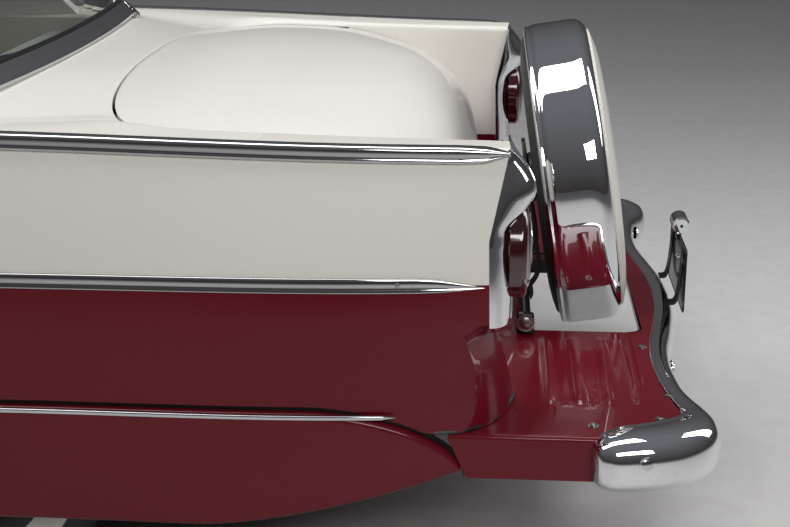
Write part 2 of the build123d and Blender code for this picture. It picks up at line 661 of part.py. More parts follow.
# Crossmembers: place, length along X, top height
CROSS = [(-2160.0, 50.0, BOOT_FLOOR_Z), (-640.0, 60.0, CABIN_FLOOR_Z), (300.0, 80.0, CABIN_FLOOR_Z),
         (1000.0, 60.0, CABIN_FLOOR_Z), (2250.0, 70.0, FRONT_RAIL_Z)]
cross = [block(x, x + long, -RAIL_Y + RAIL_W, RAIL_Y - RAIL_W, top - RAIL_H + 14, top - 14)
         for x, long, top in CROSS]
outrigger = [block(x, x + 70, RAIL_Y, ROCKER_INNER_Y, CABIN_FLOOR_Z - 40, CABIN_FLOOR_Z)
             for x in (-300.0, 300.0, 900.0)]
CHASSIS = both(rail) + cross + both(Part() + outrigger)
save("chassis_frame", CHASSIS)


# Engine, radiator, exhaust and fuel tank

ENGINE_X0, ENGINE_X1, ENGINE_HALF, ENGINE_TOP = 1290.0, 1960.0, 250.0, 840.0
save("engine_block", block(ENGINE_X0, ENGINE_X1, -ENGINE_HALF, ENGINE_HALF, 372, ENGINE_TOP))
save("radiator", block(2255, 2315, -330, 330, FRONT_RAIL_Z - 14, 860))
PIPE_Y, PIPE_Z = 250.0, 185.0
pipe = Pos(0, -PIPE_Y, PIPE_Z) * Rot(0, 90, 0) * Cylinder(25, 2900)
muffler = Pos(-150, -PIPE_Y, PIPE_Z) * Rot(0, 90, 0) * Cylinder(56, 640)
hanger = [block(x, x + 20, -PIPE_Y - 5, -PIPE_Y + 5, PIPE_Z + 20, CABIN_FLOOR_Z - RAIL_H + 14)
          for x in (-620.0, 320.0, 1020.0)]
save("exhaust", Part() + [Part() + pipe, Part() + muffler] + hanger)
save("fuel_tank", block(-2080, -1560, -340, 340, 230, BOOT_FLOOR_Z))


# Axles, springs and steering knuckles

SPRING_Y, SPRING_W = 530.0, 60.0
AXLE_R, STUB_OUT = 38.0, 800.0
axle = tube_y(REAR_AXLE_X, AXLE_Z, -KINGPIN_Y, KINGPIN_Y, AXLE_R)
axle = axle + tube_y(REAR_AXLE_X, AXLE_Z, -STUB_OUT, STUB_OUT, SPINDLE_D / 2)
axle = axle + Pos(REAR_AXLE_X, 0, AXLE_Z) * Sphere(135)
# Leaf spring: a shallow arc under the axle, its eyes under the floor rails
SPRING_HALF = 640.0
SPRING_Z = AXLE_Z - AXLE_R - 30.0
leaf = prism_y([
    (REAR_AXLE_X - SPRING_HALF, SPRING_Z + 60), ((REAR_AXLE_X, SPRING_Z), (REAR_AXLE_X + SPRING_HALF, SPRING_Z + 60)),
    (REAR_AXLE_X + SPRING_HALF, SPRING_Z + 84), ((REAR_AXLE_X, SPRING_Z + 32), (REAR_AXLE_X - SPRING_HALF, SPRING_Z + 84)),
], SPRING_Y - SPRING_W / 2, SPRING_Y + SPRING_W / 2)
EYE_R = 24.0
eyes = [tube_y(x, SPRING_Z + 72, RAIL_Y, SPRING_Y + SPRING_W / 2, EYE_R)
        for x in (REAR_AXLE_X - SPRING_HALF, REAR_AXLE_X + SPRING_HALF)]
save("rear_axle", axle + both(leaf) + both(Part() + eyes))

FRONT_CROSS_W = 110.0
arm_low = block(FRONT_AXLE_X - 45, FRONT_AXLE_X + 45, 380, KINGPIN_Y - 26, 252, 276)
arm_high = block(FRONT_AXLE_X - 35, FRONT_AXLE_X + 35, 380, KINGPIN_Y - 26, 432, 450)
cradle = block(FRONT_AXLE_X - FRONT_CROSS_W / 2, FRONT_AXLE_X + FRONT_CROSS_W / 2,
               -RAIL_Y + RAIL_W, RAIL_Y - RAIL_W, 252, 372)
tower = block(FRONT_AXLE_X - 40, FRONT_AXLE_X + 40, 330, RAIL_Y - RAIL_W, 372, 450)
PIN_R = 15.0
low_ear = Part() + Pos(FRONT_AXLE_X, KINGPIN_Y, 264) * Cylinder(30, 24)
high_ear = Part() + Pos(FRONT_AXLE_X, KINGPIN_Y, 441) * Cylinder(30, 18)
SUSPENSION = cradle + both(arm_low) + both(arm_high) + both(tower) + both(low_ear) + both(high_ear)
SUSPENSION = SUSPENSION + both(Part() + Pos(FRONT_AXLE_X, KINGPIN_Y, 352.5) * Cylinder(PIN_R, 159))
save("front_suspension", SUSPENSION)

knuckle = Part() + Pos(FRONT_AXLE_X, KINGPIN_Y, AXLE_Z) * Cylinder(30, 144)
knuckle = knuckle - Pos(FRONT_AXLE_X, KINGPIN_Y, AXLE_Z) * Cylinder(PIN_R + RUNNING, 200)
spindle = tube_y(FRONT_AXLE_X, AXLE_Z, KINGPIN_Y + PIN_R + 6, STUB_OUT, SPINDLE_D / 2)
knuckle = knuckle + (spindle - Pos(FRONT_AXLE_X, KINGPIN_Y, AXLE_Z) * Cylinder(PIN_R + RUNNING, 200))
knuckle = knuckle + tube_y(FRONT_AXLE_X, AXLE_Z, KINGPIN_Y + 20, KINGPIN_Y + 34, 70)
save("knuckle_left", knuckle)
save("knuckle_right", far_side(knuckle))


# Wheels

def tyre_at(x, side):
    """Tyre with rounded shoulders and a flat tread."""
    r, w, rim = TYRE_D / 2, TYRE_W / 2, RIM_D / 2
    lip = RIM_W / 2
    profile = [
        (rim, -lip), ((rim + 62, -w), (r - 26, -w + 14)), ((r - 8, -w + 30), (r, -w + 40)),
        (r, w - 40), ((r - 8, w - 30), (r - 26, w - 14)), ((rim + 62, w), (rim, lip)),
    ]
    return turned_y(profile, x, side * WHEEL_Y, AXLE_Z, side)


def wheel_at(x, side):
    """Steel wheel: rim, dished disc, hub and hub cap, bored for its spindle."""
    rim, lip, bore = RIM_D / 2, RIM_W / 2, SPINDLE_D / 2 + RUNNING
    profile = [
        (bore, -30), (44, -30), (44, 6), (rim - 34, 10), (rim - 26, -lip), (rim, -lip), (rim, lip),
        (rim - 8, lip), (rim - 22, 30), (rim - 50, 34), (rim - 78, 26), (96, 40), dome(96, 40, 34),
        (0, 66), (bore, 66),
    ]
    return turned_y(profile, x, side * WHEEL_Y, AXLE_Z, side)


CORNERS = [("front_left", FRONT_AXLE_X, 1), ("front_right", FRONT_AXLE_X, -1),
           ("rear_left", REAR_AXLE_X, 1), ("rear_right", REAR_AXLE_X, -1)]
for corner, axle_x, side in CORNERS:
    save(f"tyre_{corner}", tyre_at(axle_x, side))
    save(f"wheel_{corner}", wheel_at(axle_x, side))


# Rear apron, bumper and its brackets

def apron():
    """Pressed apron between the tail panel and the bar, open over the spare's foot."""
    rear = BAR_X + BAR_DEPTH / 2 + 12
    plate = block(rear, TAIL_X + 58, -APRON_HALF, APRON_HALF, APRON_Z - APRON_T, APRON_Z)
    walls = both(block(BAR_X + 200, TAIL_X + 58, APRON_HALF - APRON_T, APRON_HALF, APRON_Z - APRON_SKIRT, APRON_Z))
    plate = plate + walls
    plate = plate - prism_z([
        (HOLE_FRONT_X, -HOLE_HALF), (HOLE_FRONT_X, HOLE_HALF), (HOLE_REAR_X + 30, HOLE_HALF),
        ((HOLE_REAR_X + 8, HOLE_HALF - 10), (HOLE_REAR_X, HOLE_HALF - 34)),
        (HOLE_REAR_X, -HOLE_HALF + 34), ((HOLE_REAR_X + 8, -HOLE_HALF + 10), (HOLE_REAR_X + 30, -HOLE_HALF)),
    ], 0, FAR)
    bend_x, bend_y = BAR_X + BAR_BEND, BAR_HALF - BAR_BEND
    inside = BAR_BEND - BAR_DEPTH / 2 - 12
    k = inside * math.sqrt(0.5)
    corner = prism_z([(rear - 1, APRON_HALF + 1), (rear - 1, bend_y),
                      ((bend_x - k, bend_y + k), (bend_x, bend_y + inside)),
                      (bend_x + BAR_WRAP + 6, bend_y + inside), (bend_x + BAR_WRAP + 6, APRON_HALF + 1)], 0, FAR)
    plate = plate - corner - far_side(corner)
    ribs = [block(x, x + 22, HOLE_HALF + 40, APRON_HALF - 120, APRON_Z, APRON_Z + 6) for x in RIB_PLACES]
    return plate + both(Part() + ribs)


RIB_PLACES = (-2500.0, -2430.0, -2360.0, -2290.0)
APRON = apron()
save("splash_apron", APRON)


def bar_path(x, z, turn):
    """Plan line of a bumper bar; turn is +1 where its ends wrap towards +X."""
    straight, end = BAR_HALF - BAR_BEND, BAR_HALF
    k = BAR_BEND * (1 - math.sqrt(0.5))
    bend_x = x + turn * BAR_BEND
    edges = [
        Edge.make_line((bend_x + turn * BAR_WRAP, -end, z), (bend_x, -end, z)),
        Edge.make_three_point_arc((bend_x, -end, z), (x + turn * k, -end + k, z), (x, -straight, z)),
        Edge.make_line((x, -straight, z), (x, straight, z)),
        Edge.make_three_point_arc((x, straight, z), (x + turn * k, end - k, z), (bend_x, end, z)),
        Edge.make_line((bend_x, end, z), (bend_x + turn * BAR_WRAP, end, z)),
    ]
    return Wire(edges)


def bumper(x, z, turn):
    """Bar of a D-shaped section swept along its plan line."""
    h, d = BAR_H / 2, BAR_DEPTH / 2
    start_x = x + turn * (BAR_BEND + BAR_WRAP)
    side = -1
    place = lambda a, b: Vector(start_x, -BAR_HALF + side * a, z + b)
    section = wire_of([
        (-d, -h + 10), ((-d + 8, -h), (-d + 20, -h + 1)), ((d + BAR_SWELL, 0), (-d + 20, h - 1)),
        ((-d + 8, h), (-d, h - 10)),
    ], place)
    return Part() + sweep(Face(section), bar_path(x, z, turn))


REAR_BAR = bumper(BAR_X, BAR_Z, 1)
save("rear_bumper", REAR_BAR)

IRON_Y, IRON_W = 420.0, 60.0
iron = block(BAR_X + BAR_DEPTH / 2, TAIL_X + 10, IRON_Y - 30, IRON_Y + 30, 362, APRON_Z - APRON_T)
PLATE_HALF, PLATE_LOW, PLATE_HIGH = 152.0, 444.0, 592.0
PLATE_X = BAR_X - BAR_DEPTH / 2 - 9.0
strut = block(PLATE_X, PLATE_X + 44, 96, 122, 440, 580)
plate = block(PLATE_X - 3, PLATE_X, -PLATE_HALF, PLATE_HALF, PLATE_LOW + 22, PLATE_HIGH)
hood_lamp = Part() + Pos(PLATE_X - 2, 0, PLATE_HIGH + 30) * Rot(90, 0, 0) * Cylinder(22, 70)
holder = plate + both(strut) + hood_lamp + block(PLATE_X - 3, PLATE_X + 6, -18, 18, PLATE_HIGH - 10, PLATE_HIGH + 30)
BRACKETS = both(iron) + (holder - REAR_BAR)
pivot = tube_y(PIVOT_X, PIVOT_Z, -HOLE_HALF - 40, HOLE_HALF + 40, PIVOT_D / 2)
ear = block(PIVOT_X - 20, PIVOT_X + 20, HOLE_HALF + 12, HOLE_HALF + 32, APRON_Z, PIVOT_Z + 18)
BRACKETS = BRACKETS + (pivot + both(ear))


# Spare wheel, its cover and its carrier, built upright and then leaned forwards

def lean(shape):
    """Leans a shape made about the spare's middle with its axle along X."""
    return Pos(SPARE_X, 0, SPARE_Z) * Rot(0, SPARE_LEAN, 0) * shape


SPARE_TYRE_R = COVER_D / 2 - COVER_T - SEAT
BAND = COVER_BAND / 2


def spare_profile(points):
    wire = wire_of(points, lambda r, a: Vector(a, 0, r))
    return Part() + revolve(Face(wire), Axis((0, 0, 0), (1, 0, 0)), 360)


w = TYRE_W / 2 - 3
rim = RIM_D / 2
spare_tyre = spare_profile([
    (rim, -RIM_W / 2), ((rim + 62, -w), (SPARE_TYRE_R - 26, -w + 14)),
    ((SPARE_TYRE_R - 8, -w + 30), (SPARE_TYRE_R, -w + 40)), (SPARE_TYRE_R, w - 40),
    ((SPARE_TYRE_R - 8, w - 30), (SPARE_TYRE_R - 26, w - 14)), ((rim + 62, w), (rim, RIM_W / 2)),
])
save("spare_tyre", lean(Pos(10, 0, 0) * spare_tyre))
spare_rim = spare_profile([
    (40, 46), (rim - 30, 30), (rim - 22, -RIM_W / 2), (rim, -RIM_W / 2), (rim, RIM_W / 2),
    (rim - 10, RIM_W / 2), (rim - 20, 44), (40, 60),
])
SPARE_WHEEL = lean(Pos(10, 0, 0) * spare_rim)
outer = COVER_D / 2
cover = spare_profile([
    (outer, BAND - 12), (outer, -BAND + 26), ((outer - 9, -BAND + 2), (outer - 34, -BAND - 10)),
    (150, -BAND - 26), (0, -BAND - 26),
    (0, -BAND - 22), (150, -BAND - 22), (outer - 36, -BAND - 6),
    ((outer - 12, -BAND + 5), (outer - COVER_T, -BAND + 26)), (outer - COVER_T, BAND - 12),
])
save("spare_cover", lean(cover))


def leaned(a, c):
    """Side-view place of a point a ahead of and c above the spare's middle, before its lean."""
    turn = math.radians(SPARE_LEAN)
    return (SPARE_X + a * math.cos(turn) + c * math.sin(turn),
            SPARE_Z - a * math.sin(turn) + c * math.cos(turn))


ARM_Y, ARM_W, ARM_A = 120.0, 20.0, 104.0
arm = prism_y([
    leaned(ARM_A, 70), leaned(ARM_A, -205), (PIVOT_X - 20, PIVOT_Z - 10), (PIVOT_X, PIVOT_Z - 21),
    (PIVOT_X, PIVOT_Z + 21), leaned(ARM_A + 10, -190), leaned(ARM_A + 10, 70),
], ARM_Y - ARM_W / 2, ARM_Y + ARM_W / 2)
barrel = tube_y(PIVOT_X, PIVOT_Z, ARM_Y - 16, ARM_Y + 16, 22)
yoke = prism_y([leaned(ARM_A, -70), leaned(ARM_A + 10, -70), leaned(ARM_A + 10, 70), leaned(ARM_A, 70)],
               -ARM_Y, ARM_Y)
hub = lean(Pos((70 + ARM_A) / 2, 0, 0) * Rot(0, 90, 0) * Cylinder(60, ARM_A - 70))
CARRIER = both(arm + barrel) + yoke + (Part() + hub)
CARRIER = CARRIER - tube_y(PIVOT_X, PIVOT_Z, -400, 400, PIVOT_D / 2 + RUNNING)
save("spare_carrier", CARRIER + SPARE_WHEEL)


# Front bumper with its brackets

FRONT_BAR = bumper(NOSE_BAR_X, NOSE_BAR_Z, -1)
front_iron = block(RAIL_LINE[-1][0], NOSE_BAR_X - BAR_DEPTH / 2, RAIL_Y - RAIL_W, RAIL_Y, 330, 390)
PLATE_HOLE_Y, PLATE_HOLE_Z, PLATE_HOLE_R = 88.9, 60.3, 3.5
PLATE_T = 4.0
FRONT_PLATE_X = NOSE_BAR_X + BAR_DEPTH / 2 + BAR_SWELL + SEAT + PLATE_T
pad = block(FRONT_PLATE_X - PLATE_T, FRONT_PLATE_X, -PLATE_HALF, PLATE_HALF, NOSE_BAR_Z - 75, NOSE_BAR_Z + 75)
for y in (-PLATE_HOLE_Y, PLATE_HOLE_Y):
    for z in (NOSE_BAR_Z - PLATE_HOLE_Z, NOSE_BAR_Z + PLATE_HOLE_Z):
        pad = pad - Pos(FRONT_PLATE_X, y, z) * Rot(0, 90, 0) * Cylinder(PLATE_HOLE_R, 20)
save("front_bumper", FRONT_BAR + both(front_iron))
save("bumper_brackets", BRACKETS + pad)


# Cabin: seats, dashboard, steering and parcel shelf

FLOOR_TOP = CABIN_FLOOR_Z + FLOOR_T
front_seat = prism_y([
    (-30, FLOOR_TOP + SEAT), (440, FLOOR_TOP + SEAT), (440, 400), (490, 420),
    ((524, 500), (470, 552)), (60, 520), ((20, 760), (-60, 905)), ((-110, 925), (-150, 890)),
    ((-110, 640), (-70, 420)),
], -670, 670)
SEAT_HOLLOW = prism_x([(110, 300), (90, 402), (-90, 402), (-110, 300)], -FAR, FAR)
rear_cushion = prism_y([
    (-404, 417), (-738, 446.9), (-730, 600), (-420, 628), ((-352, 600), (-360, 520)),
], -615, 615)
rear_back = prism_y([
    (-802, KICK_Z + FLOOR_T + SEAT), (-738, 602), (-800, 935), ((-845, 941), (-880, 937)),
    (-880, KICK_Z + FLOOR_T + SEAT),
], -615, 615)
save("seats", (front_seat - SEAT_HOLLOW) + rear_cushion + rear_back)

DASH_REAR, DASH_FRONT = 745.0, DOOR_FRONT_X + DOOR_GAP / 2
dash = prism_y([
    (DASH_FRONT, 770), (800, 795), ((752, 815), (DASH_REAR, 850)), ((760, 960), (830, 1000)),
    (DASH_FRONT, 1004),
], -765, 765)
save("dashboard", dash - WIND_FRAME - COWL_BODY)

WHEEL_X, WHEEL_Y_IN, WHEEL_Z, COLUMN_RAKE = 500.0, 360.0, 870.0, 25.0
along = (math.cos(math.radians(COLUMN_RAKE)), math.sin(math.radians(COLUMN_RAKE)))
COLUMN_R = 24.0


def on_column(distance):
    """Location on the column's line, that far below the steering wheel, Z along the line."""
    return Pos(WHEEL_X + distance * along[0], WHEEL_Y_IN, WHEEL_Z - distance * along[1]) * Rot(
        0, COLUMN_RAKE - 90, 0)


COLUMN_TOP = 26.0
COLUMN_END = (FIREWALL_X - WHEEL_X) / along[0] + 20
column = on_column((COLUMN_TOP + COLUMN_END) / 2) * Cylinder(COLUMN_R, COLUMN_END - COLUMN_TOP)
column = (Part() + column) & slab_x(0, FIREWALL_X)
hanger = block(850, 870, WHEEL_Y_IN - 14, WHEEL_Y_IN + 14, 700, 860)
column = column + ((hanger - dash) & block(0, FAR, 0, FAR, 0, 800))
save("steering_column", column)
rim_ring = on_column(0) * Torus(205, 11)
hub_cap = on_column(COLUMN_TOP / 2 - SEAT) * Cylinder(40, COLUMN_TOP)
spokes = [on_column(0) * Rot(0, 0, a) * Pos(100, 0, 0) * Box(200, 22, 9) for a in (0, 180, 270)]
save("steering_wheel", Part() + [Part() + rim_ring, Part() + hub_cap] + spokes)

SHELF_T_IN = 12.0
SHELF_Z = SIDE[0][2] - SHELF_T - SEAT - SHELF_T_IN
shelf = block(GLASS_BASE_X + 20, -860, -800, 800, SHELF_Z, SHELF_Z + SHELF_T_IN)
ovals = [Pos(-1075, y, SHELF_Z + 15) * Rot(0, 0, 90) * scale(Cylinder(75, 6), (1.45, 1, 1))
         for y in (-330.0, 330.0)]
save("parcel_shelf", (shelf + [Part() + o for o in ovals]) - DECK_BLANK - REAR_FRAME)


# Bright trim along the belt and the side

def belt_half(x):
    """Half width of the belt at x, straight between the stations of the side table."""
    for (x0, y0, *_), (x1, y1, *_) in zip(SIDE, SIDE[1:]):
        if x <= x1:
            return y0 + (y1 - y0) * (x - x0) / (x1 - x0)
    return SIDE[-1][1]


TRIM_X0, TRIM_X1 = TAIL_X + 16.0, DOOR_REAR_X - DOOR_GAP / 2
BELT_PROUD, BELT_DEEP, BELT_IN = 7.0, 27.0, 24.0
SIDE_TRIM_LOW, SIDE_TRIM_HIGH, SIDE_TRIM_PROUD = 728.0, 757.0, 6.0
places = [TRIM_X0, SIDE[1][0], SIDE[2][0], TRIM_X1]
belt_band = [(x, belt_z(x) - BELT_DEEP) for x in places] + [(x, belt_z(x) + 40) for x in places[::-1]]
belt_plan = [(x, belt_half(x) - BELT_IN) for x in places] + [(x, 1000.0) for x in places[::-1]]
belt = (side_solid(-BELT_PROUD) - BODY_SIDE) & prism_y(belt_band, 700, FAR)
belt = belt & prism_z(belt_plan, 0, FAR)
side_trim = (side_solid(-SIDE_TRIM_PROUD) - BODY_SIDE) & prism_y([
    (TAIL_X + 42, (SIDE_TRIM_LOW + SIDE_TRIM_HIGH) / 2 - 6), (TAIL_X + 110, SIDE_TRIM_LOW),
    (TRIM_X1, SIDE_TRIM_LOW), (TRIM_X1, SIDE_TRIM_HIGH), (TAIL_X + 110, SIDE_TRIM_HIGH - 4),
    (TAIL_X + 42, (SIDE_TRIM_LOW + SIDE_TRIM_HIGH) / 2 - 2),
], 700, FAR)
save("body_trim", both(belt) + both(side_trim))
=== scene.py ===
"""Looks for a 1950s two-door hardtop convertible car with a covered spare wheel at its tail.

Metres. +X forwards, +Y to the car's left, +Z up, the origin on the floor under the car's middle.
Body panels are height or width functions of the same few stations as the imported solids.
"""
import math

import bpy
import bmesh
import numpy as np
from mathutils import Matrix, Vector


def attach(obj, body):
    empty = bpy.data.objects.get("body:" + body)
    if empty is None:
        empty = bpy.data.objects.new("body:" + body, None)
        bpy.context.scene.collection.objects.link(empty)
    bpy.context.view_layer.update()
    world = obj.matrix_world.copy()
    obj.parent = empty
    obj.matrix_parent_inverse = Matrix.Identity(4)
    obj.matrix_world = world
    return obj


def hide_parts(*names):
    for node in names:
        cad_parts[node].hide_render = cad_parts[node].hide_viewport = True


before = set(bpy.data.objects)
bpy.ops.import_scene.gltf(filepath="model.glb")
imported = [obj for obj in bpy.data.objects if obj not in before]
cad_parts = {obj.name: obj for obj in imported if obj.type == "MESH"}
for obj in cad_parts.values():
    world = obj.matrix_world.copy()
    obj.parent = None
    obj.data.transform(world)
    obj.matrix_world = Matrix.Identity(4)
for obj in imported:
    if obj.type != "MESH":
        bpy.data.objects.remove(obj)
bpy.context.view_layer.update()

# Body side stations: place, belt half width, belt height, widest half width, its height, sill half width
STATIONS = np.array([
    (-2.230, 0.853, 0.984, 0.892, 0.690, 0.862),
    (-1.950, 0.875, 0.988, 0.925, 0.680, 0.902),
    (-1.280, 0.900, 1.007, 0.938, 0.660, 0.912),
    (-0.270, 0.908, 1.016, 0.941, 0.650, 0.912),
    (0.990, 0.898, 1.006, 0.940, 0.650, 0.910),
    (1.851, 0.876, 0.978, 0.932, 0.655, 0.900),
    (2.430, 0.838, 0.938, 0.893, 0.660, 0.870),
])
BELT_Y, BELT_Z, BULGE_Y, BULGE_Z, SILL_Y = range(1, 6)
SWELL, SHOULDER, SILL_Z = 0.007, 0.020, 0.250
TAIL_X, DOOR_REAR_X, DOOR_FRONT_X, HOOD_REAR_X, NOSE_X = -2.200, -0.270, 0.990, 1.165, 2.420
DOOR_GAP, PANEL_GAP = 0.007, 0.006
ROCKER_TOP, APRON_Z = 0.335, 0.447
FRONT_AXLE_X, REAR_AXLE_X, AXLE_Z, WHEEL_Y, ARCH_R = 1.851, -1.070, 0.354, 0.7365, 0.395
TONE_Z = 0.742           # where ivory meets crimson along the side
INNER_TONE_Z = 0.670     # and inside the tail
LEFT, RIGHT = 1, -1
FINISH = {}


# Shader groups that more than one finish uses

def group(name, inputs, outputs):
    """An empty shader node group with named sockets; inputs are (name, kind, default)."""
    tree = bpy.data.node_groups.new(name, "ShaderNodeTree")
    for label, kind, default in inputs:
        socket = tree.interface.new_socket(label, in_out="INPUT", socket_type=kind)
        socket.default_value = default
    for label, kind in outputs:
        tree.interface.new_socket(label, in_out="OUTPUT", socket_type=kind)
    return tree, tree.nodes.new("NodeGroupInput"), tree.nodes.new("NodeGroupOutput")


def speckle_group():
    """Cloudy mask from two noises on object coordinates: large patches times fine grain."""
    tree, inlet, outlet = group("speckle", [
        ("Patch Scale", "NodeSocketFloat", 6.0), ("Grain Scale", "NodeSocketFloat", 90.0)],
        [("Mask", "NodeSocketFloat"), ("Grain", "NodeSocketFloat")])
    place = tree.nodes.new("ShaderNodeTexCoord")
    patch, grain = tree.nodes.new("ShaderNodeTexNoise"), tree.nodes.new("ShaderNodeTexNoise")
    mix = tree.nodes.new("ShaderNodeMath")
    mix.operation = "MULTIPLY"
    patch.inputs["Detail"].default_value = 3
    grain.inputs["Detail"].default_value = 2
    link = tree.links.new
    for noise, label in ((patch, "Patch Scale"), (grain, "Grain Scale")):
        link(place.outputs["Object"], noise.inputs["Vector"])
        link(inlet.outputs[label], noise.inputs["Scale"])
    link(patch.outputs["Fac"], mix.inputs[0])
    link(grain.outputs["Fac"], mix.inputs[1])
    link(mix.outputs["Value"], outlet.inputs["Mask"])
    link(grain.outputs["Fac"], outlet.inputs["Grain"])
    return tree


SPECKLE = speckle_group()


def blank_finish(name):
    """A material with its Principled shader, ready for links."""
    material = bpy.data.materials.new(name)
    material.use_nodes = True
    tree = material.node_tree
    return material, tree, tree.nodes["Principled BSDF"]


def speckled(tree, patch=6.0, grain=90.0):
    node = tree.nodes.new("ShaderNodeGroup")
    node.node_tree = SPECKLE
    node.inputs["Patch Scale"].default_value = patch
    node.inputs["Grain Scale"].default_value = grain
    return node


def ramp_between(tree, factor, low, high, start=0.0, end=1.0):
    """Colour that goes from low to high as the factor goes from start to end."""
    ramp = tree.nodes.new("ShaderNodeValToRGB")
    ramp.color_ramp.elements[0].position, ramp.color_ramp.elements[1].position = start, end
    ramp.color_ramp.elements[0].color = (*low, 1.0)
    ramp.color_ramp.elements[1].color = (*high, 1.0)
    tree.links.new(factor, ramp.inputs["Fac"])
    return ramp.outputs["Color"]


def range_of(tree, factor, low, high, start=0.3, end=0.7):
    """Number that goes from low to high as the factor goes from start to end."""
    node = tree.nodes.new("ShaderNodeMapRange")
    for label, value in (("From Min", start), ("From Max", end), ("To Min", low), ("To Max", high)):
        node.inputs[label].default_value = value
    tree.links.new(factor, node.inputs["Value"])
    return node.outputs["Result"]


def bump(tree, shader, height, strength, distance):
    node = tree.nodes.new("ShaderNodeBump")
    node.inputs["Strength"].default_value = strength
    node.inputs["Distance"].default_value = distance
    tree.links.new(height, node.inputs["Height"])
    tree.links.new(node.outputs["Normal"], shader.inputs["Normal"])


def tint(colour, share):
    return tuple(channel * share for channel in colour)


IVORY, CRIMSON = (0.76, 0.735, 0.68), (0.125, 0.0045, 0.012)


def gloss_coat(shader):
    shader.inputs["Specular IOR Level"].default_value = 0.08
    shader.inputs["Coat Weight"].default_value = 0.38
    shader.inputs["Coat Roughness"].default_value = 0.03
    shader.inputs["Coat IOR"].default_value = 1.5


def paint(name, colour, roughness=0.35, patch=2.0):
    """Gloss paint under a clear coat: faint patches of tone and an orange-peel ripple."""
    material, tree, shader = blank_finish(name)
    marks = speckled(tree, patch, 160.0)
    tree.links.new(ramp_between(tree, marks.outputs["Mask"], tint(colour, 0.94), tint(colour, 1.05), 0.1, 0.5),
                   shader.inputs["Base Color"])
    tree.links.new(range_of(tree, marks.outputs["Mask"], roughness - 0.04, roughness + 0.06),
                   shader.inputs["Roughness"])
    bump(tree, shader, marks.outputs["Grain"], 0.02, 0.0006)
    gloss_coat(shader)
    return material


def two_tone(name, level, upper, lower):
    """Gloss paint, one colour above a height and another below it."""
    material, tree, shader = blank_finish(name)
    place, parts = tree.nodes.new("ShaderNodeTexCoord"), tree.nodes.new("ShaderNodeSeparateXYZ")
    step, mix = tree.nodes.new("ShaderNodeMath"), tree.nodes.new("ShaderNodeMix")
    marks = speckled(tree, 2.0, 160.0)
    step.operation = "GREATER_THAN"
    step.inputs[1].default_value = level
    mix.data_type = "RGBA"
    link = tree.links.new
    link(place.outputs["Object"], parts.inputs["Vector"])
    link(parts.outputs["Z"], step.inputs[0])
    link(step.outputs["Value"], mix.inputs["Factor"])
    link(ramp_between(tree, marks.outputs["Mask"], tint(lower, 0.92), tint(lower, 1.08), 0.1, 0.5), mix.inputs["A"])
    link(ramp_between(tree, marks.outputs["Mask"], tint(upper, 0.97), tint(upper, 1.02), 0.1, 0.5), mix.inputs["B"])
    link(mix.outputs["Result"], shader.inputs["Base Color"])
    link(range_of(tree, marks.outputs["Mask"], 0.30, 0.40), shader.inputs["Roughness"])
    bump(tree, shader, marks.outputs["Grain"], 0.02, 0.0006)
    gloss_coat(shader)
    return material


def metal(name, colour, roughness, spread=0.03, patch=5.0, grain=120.0):
    """Bare or plated metal whose sheen varies in soft patches."""
    material, tree, shader = blank_finish(name)
    shader.inputs["Metallic"].default_value = 1.0
    marks = speckled(tree, patch, grain)
    tree.links.new(ramp_between(tree, marks.outputs["Mask"], tint(colour, 0.93), colour, 0.1, 0.5),
                   shader.inputs["Base Color"])
    tree.links.new(range_of(tree, marks.outputs["Mask"], max(roughness - spread, 0.01), roughness + spread),
                   shader.inputs["Roughness"])
    return material


def dull(name, colour, roughness, grain=60.0, depth=0.0008, strength=0.3, spread=0.15):
    """Matt or satin material with a fine grain: rubber, cast iron, vinyl, carpet, board."""
    material, tree, shader = blank_finish(name)
    marks = speckled(tree, 8.0, grain)
    tree.links.new(ramp_between(tree, marks.outputs["Mask"], tint(colour, 1 - spread), tint(colour, 1 + spread),
                                0.1, 0.5), shader.inputs["Base Color"])
    tree.links.new(range_of(tree, marks.outputs["Mask"], roughness - 0.06, min(roughness + 0.06, 1.0)),
                   shader.inputs["Roughness"])
    bump(tree, shader, marks.outputs["Grain"], strength, depth)
    return material


def clear(name, colour, roughness=0.0, ior=1.45):
    """Glass or a moulded lens: plain transmission, with a faint film that dulls its gloss in patches."""
    material, tree, shader = blank_finish(name)
    shader.inputs["Base Color"].default_value = (*colour, 1.0)
    shader.inputs["Transmission Weight"].default_value = 1.0
    shader.inputs["IOR"].default_value = ior
    marks = speckled(tree, 4.0, 60.0)
    tree.links.new(range_of(tree, marks.outputs["Mask"], roughness, roughness + 0.015), shader.inputs["Roughness"])
    return material


def lens_red():
    """Deep red lamp lens, lightly see-through, with moulded rings round its middle."""
    material, tree, shader = blank_finish("lens_red")
    shader.inputs["Transmission Weight"].default_value = 0.25
    shader.inputs["Coat Weight"].default_value = 1.0
    shader.inputs["Coat Roughness"].default_value = 0.02
    marks = speckled(tree, 9.0, 200.0)
    tree.links.new(ramp_between(tree, marks.outputs["Mask"], (0.035, 0.0012, 0.003), (0.06, 0.002, 0.005), 0.1, 0.5),
                   shader.inputs["Base Color"])
    tree.links.new(range_of(tree, marks.outputs["Mask"], 0.12, 0.2), shader.inputs["Roughness"])
    return material


